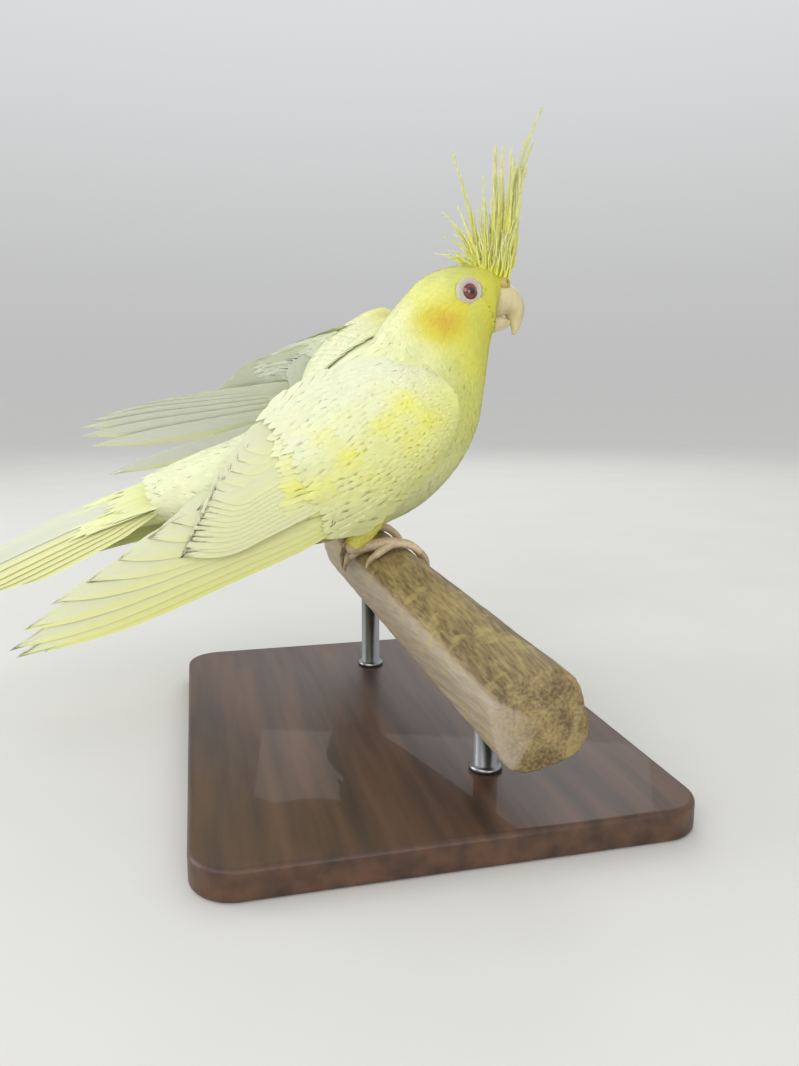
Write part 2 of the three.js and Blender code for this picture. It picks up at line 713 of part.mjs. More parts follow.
function foot(y, outward) {
  const hub = aroundPerch(y, 90, HUB_ABOVE);
  const front = hub.clone().add(SHANK.front);
  const ankle = hub.clone().add(SHANK.back).add(vec(0, outward, 0));
  const shank = limb([front, hub, ankle], SHANK.radii, 10);
  const toes = TOES.map((toe) => {
    const points = TOE.shares.map((t) => toePoint(toe, y, outward, t, TOE.above));
    return limb(points, TOE.radii, 7, TOE.squash);
  });
  return fuse([shank, ...toes]).subtract(perchSolid(GAP));
}
function claw(toe, y, outward) {
  const degreesPerMm = 180 / (Math.PI * PERCH.radius);
  const span = Math.abs(toe.to - toe.from);
  const start = 1 + (GAP * CLAW.clear * degreesPerMm) / span;
  const points = CLAW.shares.map((t) => {
    const above = CLAW.above + CLAW.arch * t * (1 - t);
    return toePoint(toe, y, outward, start + (toe.claw * degreesPerMm * t) / span, above);
  });
  return limb(points, CLAW.radii);
}
function thigh(y) {
  const parts = [THIGH, ANKLE].map(({ xz, radii, squash }) => {
    const points = xz.map(([x, z]) => vec(x, y, z));
    return limb(points, radii, 12, squash);
  });
  return fuse(parts);
}

// Perch, a stick of rounded square section
function perchAxis(y) {
  return vec(PERCH.slopeX * y, y, PERCH.slopeZ * y);
}
function perchRadius(y, angle) {
  return (PERCH.radius - PERCH.swell * y) * (1 + PERCH.square * Math.cos(4 * (angle - rad(PERCH.ridge))));
}
function perchRing(y, grow, around) {
  return Array.from({ length: around }, (_, k) => {
    const a = (2 * Math.PI * k) / around;
    const r = perchRadius(y, a) + grow;
    return perchAxis(y).add(vec(r * Math.cos(a), 0, r * Math.sin(a)));
  });
}
function perchSolid(grow = 0, steps = 4) {
  const rings = [];
  for (let i = 0; i <= steps; i++) {
    rings.push(perchRing(lerp(PERCH.near - grow, PERCH.far + grow, i / steps), grow, 28));
  }
  return loft(rings);
}

// Stand
function baseRing(inset, z, steps = 5) {
  const radius = BASE.corner - inset;
  return [[1, 1], [-1, 1], [-1, -1], [1, -1]].flatMap(([signX, signY], corner) =>
    Array.from({ length: steps + 1 }, (_, i) => {
      const a = (Math.PI / 2) * (corner + i / steps);
      const x = signX * (BASE.sizeX / 2 - BASE.corner) + radius * Math.cos(a);
      const y = signY * (BASE.sizeY / 2 - BASE.corner) + radius * Math.sin(a);
      return vec(x, y, z);
    })
  );
}
function baseSolid() {
  const levels = [[BASE.bevel, 0], [0, BASE.bevel], [0, BASE.height - BASE.bevel], [BASE.bevel, BASE.height]];
  return loft(levels.map(([inset, z]) => baseRing(inset, z)));
}

// The model
const model = new THREE.Group();
const bird = new THREE.Group();
bird.position.set(...PERCH_AT);
model.add(bird);

const PLUMAGE = new THREE.MeshStandardMaterial({ color: '#e6e58c', roughness: 0.8 });
const FACE = new THREE.MeshStandardMaterial({ color: '#ece65a', roughness: 0.8 });
const PALE = new THREE.MeshStandardMaterial({ color: '#e9ead2', roughness: 0.8 });
const BILL_HORN = new THREE.MeshStandardMaterial({ color: '#dcc9a4', roughness: 0.45 });
const FOOT_SKIN = new THREE.MeshStandardMaterial({ color: '#d9b7a1', roughness: 0.6 });
const CLAW_HORN = new THREE.MeshStandardMaterial({ color: '#6d5a4c', roughness: 0.4 });
const RED_EYE = new THREE.MeshStandardMaterial({ color: '#8c1020', roughness: 0.1 });
const PERCH_WOOD = new THREE.MeshStandardMaterial({ color: '#86714a', roughness: 0.8 });
const STAND_WOOD = new THREE.MeshStandardMaterial({ color: '#3b2b20', roughness: 0.5 });
const STAND_STEEL = new THREE.MeshStandardMaterial({ color: '#8f8f92', roughness: 0.35, metalness: 1 });

function add(parent, name, shape, material) {
  const mesh = new THREE.Mesh(geometryOf(shape), material);
  mesh.name = name;
  parent.add(mesh);
}

add(bird, 'torso', torso(), PLUMAGE);
add(bird, 'neck', bodyLoft(NECK_FROM + CUT, NECK_TO, 4), PLUMAGE);
add(bird, 'head', head(), FACE);
add(bird, 'bill_upper', billLoft(UPPER_BILL).subtract(headCutter), BILL_HORN);
const lowerBill = billLoft(LOWER_BILL).subtract(headCutter);
add(bird, 'bill_lower', lowerBill.subtract(billLoft(UPPER_BILL, GAP)), BILL_HORN);
EYES.forEach((eye, i) => add(bird, `eye_${['right', 'left'][i]}`, ball(eye, EYE.radius), RED_EYE));
add(bird, 'wing_right', rightWing(), PALE);
add(bird, 'wing_left', leftWing(), PALE);
add(bird, 'tail', tail(), PALE);
['right', 'left'].forEach((side, i) => {
  const outward = i === 0 ? 1 : -1;
  const thighShape = thigh(LEG_Y[i]);
  add(bird, `thigh_${side}`, thighShape.subtract(bodyCutter).subtract(perchSolid(GAP)), PLUMAGE);
  add(bird, `foot_${side}`, foot(LEG_Y[i], outward).subtract(thighShape).subtract(bodyCutter), FOOT_SKIN);
  for (const toe of TOES) {
    add(bird, `claw_${side}_${toe.name}`, claw(toe, LEG_Y[i], outward).subtract(perchSolid(GAP)), CLAW_HORN);
  }
});
add(bird, 'perch', perchSolid(), PERCH_WOOD);
add(model, 'stand_base', baseSolid(), STAND_WOOD);
ROD.places.forEach((y, i) => {
  const top = perchAxis(y).add(vec(...PERCH_AT));
  const points = [vec(top.x, top.y, BASE.height + GAP), top];
  const shape = limb(points, [ROD.radius, ROD.radius], 20);
  const perchHere = perchSolid(GAP).translate(PERCH_AT);
  add(model, `stand_rod_${['near', 'far'][i]}`, shape.subtract(perchHere), STAND_STEEL);
});

export default model;
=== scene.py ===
# Looks of the cockatiel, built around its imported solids. Points are worked out in
# millimetres in the bird's own frame, whose origin is the perch's axis under the feet,
# and turn into metres in the row frame when a mesh is made.
import math

import bmesh
import bpy
import numpy as np
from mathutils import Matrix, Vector
from mathutils.bvhtree import BVHTree


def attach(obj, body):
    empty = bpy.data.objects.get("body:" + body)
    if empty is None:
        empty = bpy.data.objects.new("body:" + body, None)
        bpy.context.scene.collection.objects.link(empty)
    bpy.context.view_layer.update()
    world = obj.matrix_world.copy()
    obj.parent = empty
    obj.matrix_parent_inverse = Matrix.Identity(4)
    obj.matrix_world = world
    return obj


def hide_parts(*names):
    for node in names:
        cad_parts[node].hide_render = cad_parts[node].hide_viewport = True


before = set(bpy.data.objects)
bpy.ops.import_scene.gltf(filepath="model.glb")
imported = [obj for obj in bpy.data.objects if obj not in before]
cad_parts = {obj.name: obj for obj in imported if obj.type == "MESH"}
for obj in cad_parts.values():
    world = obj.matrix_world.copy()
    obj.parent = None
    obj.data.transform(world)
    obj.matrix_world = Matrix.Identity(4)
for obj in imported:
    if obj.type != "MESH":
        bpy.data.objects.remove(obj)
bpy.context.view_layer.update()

MM = 0.001
PERCH_AT = np.array([5.0, 40.0, 50.0])
RNG = np.random.default_rng(23)
TWO_PI = 2 * math.pi


def vec(x, y, z):
    return np.array([x, y, z], float)


def unit(v):
    return v / np.maximum(np.linalg.norm(v, axis=-1, keepdims=True), 1e-12)


def lerp(a, b, t):
    return a + (b - a) * t


def clamp(t, low=0.0, high=1.0):
    return np.clip(t, low, high)


def ease(t):
    t = clamp(t)
    return t * t * (3 - 2 * t)


def angles(count):
    """The angles of a number of points round a ring."""
    return np.arange(count) * TWO_PI / count


def along(pairs, at):
    """The value at a place, from a table of (place, value) pairs."""
    table = np.array(pairs, float)
    return np.interp(at, table[:, 0], table[:, 1])


def rgb(red, green, blue):
    """A screen colour as the linear numbers that a shader reads."""
    c = np.array([red, green, blue], float) / 255
    return np.where(c <= 0.04045, c / 12.92, ((c + 0.055) / 1.055) ** 2.4)


def waves(points, scale, seed):
    """Smooth noise from -1 to 1 at points in millimetres: a few crossed waves."""
    rng = np.random.default_rng(seed)
    total = np.zeros(len(points))
    for _ in range(5):
        direction = unit(rng.normal(size=3)) * rng.uniform(0.6, 1.5) * TWO_PI / scale
        total += np.sin(points @ direction + rng.uniform(0, TWO_PI))
    return total / 3


# Tubes: closed round forms as a fine grid of points and normals over two numbers, the
# place along it from 0 to 1 and the turn about it from 0 to 1


SLOPE_STEP = 0.01


class Tube:
    def __init__(self, rings):
        self.points = np.asarray(rings, float)
        rows, around = self.points.shape[:2]
        step_along = np.gradient(self.points, axis=0)
        step_round = (np.roll(self.points, -1, 1) - np.roll(self.points, 1, 1)) / 2
        self.per_along = np.linalg.norm(step_along, axis=2) * (rows - 1)
        self.per_round = np.linalg.norm(step_round, axis=2) * around
        normals = unit(np.cross(step_along, step_round))
        middle = self.points.mean(1, keepdims=True)
        outward = ((self.points - middle) * normals).sum(2).mean()
        self.normals = normals if outward > 0 else -normals

    def _mix(self, grid, at, turn):
        rows, around = grid.shape[:2]
        a = clamp(at) * (rows - 1)
        i = np.minimum(a.astype(int), rows - 2)
        fa = a - i
        b = np.mod(turn, 1.0) * around
        j = b.astype(int) % around
        fb = b - np.floor(b)
        k = (j + 1) % around
        if grid.ndim == 3:
            fa, fb = fa[..., None], fb[..., None]
        near = lerp(grid[i, j], grid[i, k], fb)
        far = lerp(grid[i + 1, j], grid[i + 1, k], fb)
        return lerp(near, far, fa)

    def point(self, at, turn, height=0.0):
        at, turn, height = np.broadcast_arrays(at, turn, height)
        here = self._mix(self.points, at, turn)
        inner = clamp(at, 2 * SLOPE_STEP, 1 - 2 * SLOPE_STEP)
        before = self._mix(self.points, inner - SLOPE_STEP, turn)
        after = self._mix(self.points, inner + SLOPE_STEP, turn)
        here = here + (after - before) / (2 * SLOPE_STEP) * (at - clamp(at))[..., None]
        return here + self._mix(self.normals, at, turn) * height[..., None]

    def scale(self, at, turn):
        """Millimetres for each unit along and round, at a place."""
        return self._mix(self.per_along, at, turn), self._mix(self.per_round, at, turn)


def resampled(rows, count):
    """Rows of numbers made into more rows, on a smooth curve through them."""
    rows = np.array(rows, float)
    last = len(rows) - 1
    at = np.linspace(0, last, count)
    i = np.clip(np.floor(at).astype(int), 0, last - 1)
    t = (at - i)[:, None]
    b, c = rows[i], rows[i + 1]
    slope_b = (c - rows[np.maximum(i - 1, 0)]) / 2
    slope_c = (rows[np.minimum(i + 2, last)] - b) / 2
    start = (2 * t**3 - 3 * t**2 + 1) * b + (t**3 - 2 * t**2 + t) * slope_b
    return start + (3 * t**2 - 2 * t**3) * c + (t**3 - t**2) * slope_c


# The body from the root of the tail to the face, as in the solids but for its last four
# sections, where the face is drawn further back: the back and the belly point of each
# cross-section, as x and z, and its half width
BODY = [
    (-80, 40.5, -76, 21, 10),
    (-66, 46.5, -60, 15.5, 15.5),
    (-52, 52, -42, 11.5, 21),
    (-36, 62, -24, 12, 25.5),
    (-22, 72.5, -4, 17, 28),
    (-10, 80, 14, 25, 27.5),
    (-4, 85, 28, 38, 24.5),
    (-1, 89, 36.5, 53, 20),
    (3, 94.5, 39.5, 68, 16.5),
    (8.5, 101, 41, 80, 14.6),
    (16, 108.5, 42, 87, 14),
    (26, 112.6, 43, 89.8, 13),
    (34.5, 113.3, 42.8, 89.6, 11.3),
    (39.5, 112.7, 42.6, 91, 9.7),
    (43, 111.3, 42.4, 93.4, 8.1),
    (45.6, 109.3, 42.4, 96.4, 6.3),
]
BELLY_BREADTH = 0.06
BODY_ROWS, BODY_AROUND = 200, 96


def body_tube():
    rows = resampled(BODY, BODY_ROWS)
    a = angles(BODY_AROUND)
    back, belly, half = rows[:, 0:2], rows[:, 2:4], rows[:, 4]
    middle, up = (back + belly) / 2, (back - belly) / 2
    rings = np.zeros((BODY_ROWS, BODY_AROUND, 3))
    rings[..., 0] = middle[:, 0:1] + up[:, 0:1] * np.sin(a)
    rings[..., 2] = middle[:, 1:2] + up[:, 1:2] * np.sin(a)
    rings[..., 1] = half[:, None] * (1 - BELLY_BREADTH * np.sin(a)) * np.cos(a)
    return Tube(rings)


BODY_TUBE = body_tube()


class Flat:
    """A bent sheet over two flat coordinates in millimetres, raised along its normal."""

    def __init__(self, base, outward):
        self.base = base
        self.outward = outward

    def point(self, p, q, height=0.0):
        p, q, height = np.broadcast_arrays(np.asarray(p, float), q, height)
        here = self.base(p, q)
        normal = unit(np.cross(self.base(p + 1, q) - here, self.base(p, q + 1) - here))
        sign = np.where(normal @ self.outward < 0, -1.0, 1.0)
        return here + normal * (sign * height)[..., None]

    def scale(self, p, q):
        return np.ones_like(p), np.ones_like(p)


# Wings: the same bent sheets as in the solids
RIGHT_WRIST, RIGHT_TIP = vec(20, 0, 62), vec(-132, 0, -12)
RIGHT_P = unit(RIGHT_TIP - RIGHT_WRIST)
RIGHT_Q = vec(RIGHT_P[2], 0, -RIGHT_P[0])
RIGHT_RIDGE = -4
RIGHT_OUT = [(-5, 25), (10, 30), (35, 32), (60, 31), (90, 28), (130, 25), (175, 22)]
RIGHT_CURVE = [(0, 0.013), (40, 0.011), (80, 0.006), (175, 0.003)]


def right_base(p, q):
    away = along(RIGHT_OUT, p) - along(RIGHT_CURVE, p) * (q - RIGHT_RIDGE) ** 2
    here = RIGHT_WRIST + p[..., None] * RIGHT_P + q[..., None] * RIGHT_Q
    here[..., 1] = -away
    return here


LEFT_WRIST, LEFT_TIP = vec(26, 42, 79), vec(-117.5, 85, 55.5)
LEFT_SLOPE = math.radians(44)
LEFT_RIDGE, LEFT_HOLLOW = 4, 0.004
LEFT_P = unit(LEFT_TIP - LEFT_WRIST)
LEFT_Q = vec(0, -math.cos(LEFT_SLOPE), math.sin(LEFT_SLOPE))
LEFT_Q = unit(LEFT_Q - LEFT_P * (LEFT_Q @ LEFT_P))
LEFT_UP = np.cross(LEFT_Q, LEFT_P)
LEFT_UP = LEFT_UP if LEFT_UP[2] > 0 else -LEFT_UP


def left_base(p, q):
    hollow = LEFT_HOLLOW * (q - LEFT_RIDGE) ** 2
    return LEFT_WRIST + p[..., None] * LEFT_P + q[..., None] * LEFT_Q - hollow[..., None] * LEFT_UP


RIGHT_SHEET = Flat(right_base, vec(0, -1, 0))
LEFT_SHEET = Flat(left_base, LEFT_UP)

# The flesh of each wing: place, middle, half breadth and half thickness
RIGHT_CORE = [
    (-4, 4, 4, 1.5),
    (2, 5, 13, 4),
    (12, 5, 20, 5.5),
    (25, 3, 23.5, 5.5),
    (40, 0, 22, 4),
    (54, -1, 18, 2.2),
    (62, -1, 12, 1),
]
LEFT_CORE = [
    (-4, 3, 4, 1.5),
    (2, 6, 13, 3.5),
    (14, 11, 22, 5),
    (28, 10, 23, 5),
    (42, 5, 19, 3.6),
    (54, 1, 15, 2),
    (62, -1, 9, 1),
]


def core_tube(sheet, sections, rows=80, around=72):
    """The flesh on a sheet, its top level with the sheet and its edges rounded down."""
    sections = resampled(sections, rows)
    a = angles(around)
    p, q, breadth, thick = (sections[:, k : k + 1] for k in range(4))
    return Tube(sheet.point(p + 0 * a, q + breadth * np.cos(a), thick * (np.sin(a) - 1)))


SHOULDER = [
    (vec(-8, 4, 70), 26, 13),
    (vec(-8, 17, 80), 24, 9),
    (vec(-6, 28, 87), 21, 6.5),
    (vec(-3, 38, 87), 15, 5),
]
SHOULDER_ALONG = vec(-0.8, 0, -0.6)


def shoulder_tube(rows=40, around=48):
    """The shoulder that carries the lifted left wing."""
    flat = [(*middle, long, thick) for middle, long, thick in SHOULDER]
    flat = resampled(flat, rows)
    middle = flat[:, :3]
    normal = unit(np.cross(np.gradient(middle, axis=0), SHOULDER_ALONG))
    a = angles(around)
    long = flat[:, 3, None, None] * np.cos(a)[None, :, None] * SHOULDER_ALONG
    thick = flat[:, 4, None, None] * np.sin(a)[None, :, None] * normal[:, None, :]
    return Tube(middle[:, None, :] + long + thick)


def limb_tube(points, radii, rows=40, around=32, squash=1.0):
    """A round limb through points, with a radius at each."""
    flat = np.array([(*p, r) for p, r in zip(points, radii)], float)
    flat = resampled(flat, rows)
    middle = flat[:, :3]
    direction = unit(np.gradient(middle, axis=0))
    side = np.where(np.abs(direction[:, 1:2]) > 0.8, vec(1, 0, 0), vec(0, 1, 0))
    u = unit(side - direction * (side * direction).sum(1, keepdims=True))
    v = np.cross(direction, u)
    a = angles(around)
    ring = np.cos(a)[None, :, None] * u[:, None, :] + squash * np.sin(a)[None, :, None] * v[:, None, :]
    return Tube(middle[:, None, :] + flat[:, 3, None, None] * ring)


# Tail: the same bent line as in the solids
TAIL_BEND = [vec(-76, 0, 34.5), vec(-100, 0, 27.3), vec(-140, 1, 8.6), vec(-190, 2, -17)]
TAIL_ROLL = math.radians(28)
TAIL_DROOP = 0.006
TAIL_ACROSS = vec(0, math.cos(TAIL_ROLL), math.sin(TAIL_ROLL))


def tail_line():
    t = np.linspace(0, 1, 200)[:, None]
    a, b, c, d = TAIL_BEND
    points = a * (1 - t) ** 3 + 3 * b * t * (1 - t) ** 2 + 3 * c * t**2 * (1 - t) + d * t**3
    length = np.concatenate([[0], np.cumsum(np.linalg.norm(np.diff(points, axis=0), axis=1))])
    return points, length


TAIL_POINTS, TAIL_LENGTHS = tail_line()


def tail_base(s, across):
    here = np.stack([np.interp(s, TAIL_LENGTHS, TAIL_POINTS[:, k]) for k in range(3)], -1)
    first = unit(TAIL_POINTS[1] - TAIL_POINTS[0])
    here = here + np.minimum(s, 0)[..., None] * first
    here = here + across[..., None] * TAIL_ACROSS
    here[..., 2] -= TAIL_DROOP * across**2
    return here


TAIL_SHEET = Flat(tail_base, vec(0, 0, 1))
TAIL_ROOT = [(0.4, 0, 9.5, 7), (8, 0, 10, 5), (20, 0, 10, 3), (32, 0, 9, 1.2)]

LEG_Y = (-12, 11)
THIGH_XZ = [(-4, 30), (-9, 19), (-13, 12.2)]
THIGH_RADII = [8, 6, 3.2]


def thigh_tube(y):
    return limb_tube([vec(x, y, z) for x, z in THIGH_XZ], THIGH_RADII, squash=0.9)


CORES = {"right": core_tube(RIGHT_SHEET, RIGHT_CORE), "left": core_tube(LEFT_SHEET, LEFT_CORE)}
SHOULDER_TUBE = shoulder_tube()
TAIL_TUBE = core_tube(TAIL_SHEET, TAIL_ROOT, 40, 48)
THIGHS = [thigh_tube(y) for y in LEG_Y]

# Markings, with painted shade on the lower breast. The same function paints the skin and the feathers that
# grow from it
CREAM = rgb(228, 232, 166)
LEMON = rgb(238, 236, 94)
FACE_YELLOW = rgb(222, 216, 40)
CHEEK = rgb(216, 172, 10)
BREAST = rgb(212, 214, 92)
# A greyer sage for the lower breast: painted shade
SHADE_SAGE = rgb(204, 208, 138)
SHELL_WHITE = rgb(236, 240, 204)
THIGH_YELLOW = rgb(240, 234, 104)
FLIGHT = rgb(218, 222, 184)
# The underwing's pale tone, made paler still as painted light, since the underside gets little light
LIT_UNDERWING = rgb(240, 245, 234)
CHEEK_AT = (22.5, 95.2)
CHEEK_SIZE = (8.8, 5.8)


def blob(points, x, z, size_x, size_z):
    far = ((points[:, 0] - x) / size_x) ** 2 + ((points[:, 2] - z) / size_z) ** 2
    return np.exp(-far)


def body_marking_and_shade(points):
    """Colours of the plumage of head and body at points in the bird's frame, with painted shade toward the
    lower breast.
    """
    x, y, z = points.T
    back = 0.8 * ease((10 - x) / 20) * ease((z - 0.9 * x - 28) / 20)
    colour = lerp(CREAM, SHELL_WHITE, back[:, None])

    def paint(tone, share):
        colour[:] = lerp(colour, tone, clamp(share)[:, None])

    paint(LEMON, 0.8 * ease((x + z - 95) / 28))
    paint(BREAST, 0.8 * ease((x - 12) / 20) * ease((z - 34) / 30))
    # Painted shade: the lower front turns toward sage, as it lies in shade under the body
    paint(SHADE_SAGE, 0.5 * ease((x - 8) / 22) * ease((48 - z) / 26))
    paint(SHELL_WHITE, 0.45 * blob(points, 6, 97, 12, 11))
    paint(CREAM, 0.45 * blob(points, 20, 113, 11, 8))
    paint(FACE_YELLOW, 0.85 * ease((x - 32) / 10) * ease((z - 84) / 8))
    paint(FACE_YELLOW, 0.5 * blob(points, 36, 84, 8, 9))
    cheek = blob(points, *CHEEK_AT, *CHEEK_SIZE) * ease((np.abs(y) - 6) / 3)
    paint(FACE_YELLOW, 0.9 * np.minimum(1, 2.2 * cheek))
    paint(CHEEK, 0.9 * cheek**1.8)
    paint(LEMON, 0.7 * blob(points, -8, 20, 11, 12) * ease((30 - z) / 8))
    return clamp(colour * (1 + 0.05 * waves(points, 9, 3))[:, None])


# Meshes


def to_row(points):
    return (points + PERCH_AT) * MM


def new_object(name, data):
    thing = bpy.data.objects.new(name, data)
    bpy.context.scene.collection.objects.link(thing)
    return thing


def set_smooth(mesh, smooth=True):
    mesh.polygons.foreach_set("use_smooth", np.full(len(mesh.polygons), smooth))


def make_mesh(name, points, faces):
    """A mesh object from points in the bird's frame and an array of faces of one size."""
    mesh = bpy.data.meshes.new(name)
    mesh.vertices.add(len(points))
    mesh.vertices.foreach_set("co", to_row(points).astype(np.float32).ravel())
    count, corners = faces.shape
    mesh.loops.add(count * corners)
    mesh.loops.foreach_set("vertex_index", faces.astype(np.int32).ravel())
    mesh.polygons.add(count)
    mesh.polygons.foreach_set("loop_start", np.arange(0, count * corners, corners, dtype=np.int32))
    mesh.update(calc_edges=True)
    set_smooth(mesh)
    mesh.validate()
    return new_object(name, mesh)


def add_floats(thing, name, values):
    attribute = thing.data.attributes.new(name, "FLOAT", "POINT")
    attribute.data.foreach_set("value", values.astype(np.float32))


def add_colours(thing, colours):
    attribute = thing.data.color_attributes.new("Colour", "FLOAT_COLOR", "POINT")
    rgba = np.concatenate([colours, np.ones((len(colours), 1))], 1)
    attribute.data.foreach_set("color", rgba.astype(np.float32).ravel())


def points_of(thing):
    """A mesh's points in the bird's frame."""
    co = np.zeros(len(thing.data.vertices) * 3)
    thing.data.vertices.foreach_get("co", co)
    return co.reshape(-1, 3) / MM - PERCH_AT


def dress(thing, material, replaces=()):
    """Gives a piece its finish and puts it on the still body."""
    thing.data.materials.clear()
    thing.data.materials.append(material)
    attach(thing, "root")
    if replaces:
        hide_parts(*replaces)
    return thing


def tube_faces(rows, around):
    i, j = np.meshgrid(np.arange(rows - 1), np.arange(around), indexing="ij")
    k = (j + 1) % around
    quads = np.stack([i * around + j, i * around + k, (i + 1) * around + k, (i + 1) * around + j], -1)
    return quads.reshape(-1, 4)


def closed_tube(name, rings):
    """A closed mesh from rings, with a point at the middle of each end."""
    rings = np.asarray(rings, float)
    rows, around = rings.shape[:2]
    mesh = bpy.data.meshes.new(name)
    bm = bmesh.new()
    points = [bm.verts.new(p) for p in to_row(rings.reshape(-1, 3))]
    for quad in tube_faces(rows, around):
        bm.faces.new([points[i] for i in quad])
    for row in (0, rows - 1):
        hub = bm.verts.new(to_row(rings[row].mean(0)))
        for j in range(around):
            bm.faces.new([points[row * around + (j + 1) % around], points[row * around + j], hub])
    bmesh.ops.recalc_face_normals(bm, faces=bm.faces)
    bm.to_mesh(mesh)
    bm.free()
    set_smooth(mesh)
    return new_object(name, mesh)


def applied(thing):
    """The object with its modifiers made part of its mesh."""
    graph = bpy.context.evaluated_depsgraph_get()
    mesh = bpy.data.meshes.new_from_object(thing.evaluated_get(graph))
    thing.modifiers.clear()
    thing.data = mesh
    return thing


def join(things):
    with bpy.context.temp_override(
        active_object=things[0], selected_editable_objects=things, selected_objects=things
    ):
        bpy.ops.object.join()
    return things[0]


# Materials


def node_tree(name):
    material = bpy.data.materials.new(name)
    material.use_nodes = True
    tree = material.node_tree
    return material, tree, tree.nodes["Principled BSDF"]


def new_node(tree, kind, settings=None, **inputs):
    node = tree.nodes.new(kind)
    for key, value in (settings or {}).items():
        setattr(node, key, value)
    for key, value in inputs.items():
        socket = node.inputs[int(key[1:])] if key[1:].isdigit() else node.inputs[key]
        if isinstance(value, bpy.types.NodeSocket):
            tree.links.new(value, socket)
        else:
            socket.default_value = value
    return node


def math_node(tree, operation, a, b=0.0):
    return new_node(tree, "ShaderNodeMath", {"operation": operation}, _0=a, _1=b).outputs[0]


def mix_colour(tree, blend, factor, a, b):
    node = new_node(tree, "ShaderNodeMix", {"data_type": "RGBA", "blend_type": blend})
    for socket, value in ((node.inputs[0], factor), (node.inputs[6], a), (node.inputs[7], b)):
        if isinstance(value, bpy.types.NodeSocket):
            tree.links.new(value, socket)
        else:
            socket.default_value = value
    return node.outputs[2]


def opaque(colour):
    return (*[float(c) for c in colour], 1.0)


def object_place(tree):
    return new_node(tree, "ShaderNodeTexCoord").outputs["Object"]


def point_colour(tree):
    return new_node(tree, "ShaderNodeVertexColor", {"layer_name": "Colour"}).outputs[0]


def attribute(tree, name):
    return new_node(tree, "ShaderNodeAttribute", {"attribute_name": name}).outputs["Fac"]


def noise_at(tree, place, scale, detail):
    return new_node(tree, "ShaderNodeTexNoise", Vector=place, Scale=scale, Detail=detail).outputs["Fac"]


def tone_ramp(tree, factor, low, high):
    """A ramp between two (place, colour) stops."""
    ramp = new_node(tree, "ShaderNodeValToRGB", Fac=factor)
    for stop, (place, colour) in zip(ramp.color_ramp.elements, (low, high)):
        stop.position = place
        stop.color = opaque(colour)
    return ramp.outputs[0]


def finish(tree, shader, settings, colour=None, bump=None):
    """Sets a shader's numbers, its colour and its bump of (height, strength, depth)."""
    for name, value in settings.items():
        shader.inputs[name].default_value = value
    if colour:
        tree.links.new(colour, shader.inputs["Base Color"])
    if bump:
        height, strength, depth = bump
        node = new_node(tree, "ShaderNodeBump", Height=height, Strength=strength, Distance=depth)
        tree.links.new(node.outputs[0], shader.inputs["Normal"])


BARB_SPACING = 0.42
BARB_SHADE = 0.03


def feather_material(name, strength=0.35):
    """Plumage: vertex colours, with fine slanting barbs and a soft unevenness."""
    material, tree, shader = node_tree(name)
    spaced = math_node(tree, "MULTIPLY", attribute(tree, "barb"), TWO_PI / BARB_SPACING)
    lines = math_node(tree, "SINE", spaced)
    noise = noise_at(tree, object_place(tree), 900.0, 3.0)
    height = math_node(tree, "ADD", math_node(tree, "MULTIPLY", lines, 0.5), noise)
    dark = math_node(tree, "MULTIPLY_ADD", lines, BARB_SHADE)
    dark.node.inputs[2].default_value = 1 - BARB_SHADE
    shaded = mix_colour(tree, "MULTIPLY", 1.0, point_colour(tree), dark)
    soft = {"Roughness": 0.72, "Specular IOR Level": 0.15, "Sheen Weight": 0.06, "Sheen Roughness": 0.5}
    finish(tree, shader, soft, shaded, (height, strength, 0.0002))
    return material


# Skin


def shrunk(tube, depth):
    """A tube's rings drawn in by the depth of the coat."""
    return tube.points - tube.normals * np.asarray(depth)[..., None]


COAT_DEPTH = [(0, 0.55), (0.45, 0.5), (0.6, 0.42), (0.72, 0.36), (1, 0.28)]


def sink_sockets(skin):
    """Presses the skin in under the bare rings round the eyes."""
    points = points_of(skin)
    for eye, axis in zip(EYES, EYE_AXES):
        deep = (points - eye) @ axis
        away = np.linalg.norm(points - eye - deep[:, None] * axis, axis=1)
        floor = LID_MIDDLE - 0.35 + 1.2 * clamp(away - 4.6, 0, 9)
        over = np.where(deep > 0, np.maximum(0, deep - floor), 0)
        points -= over[:, None] * axis
    skin.data.vertices.foreach_set("co", to_row(points).astype(np.float32).ravel())


# How far along the flesh of a wing its skin goes, before the flight feathers take over,
# and how deep the skin lies under the coat there and elsewhere
SKIN_SHARE = 0.84
WING_COAT = [(0, 0.5), (0.3, 1.2), (0.85, 1.2), (1, 0.8)]
SHOULDER_COAT, RUMP_COAT, THIGH_COAT = 1.2, 0.5, 1.0
VOXEL = 0.9


def lay_out(thing):
    """Unwraps a piece for its baked finish."""
    bpy.context.view_layer.objects.active = thing
    thing.select_set(True)
    thing.data.uv_layers.new(name="OFBake")
    bpy.ops.object.mode_set(mode="EDIT")
    bpy.ops.mesh.select_all(action="SELECT")
    bpy.ops.uv.smart_project(angle_limit=math.radians(60), island_margin=0.004)
    bpy.ops.object.mode_set(mode="OBJECT")
    thing.select_set(False)


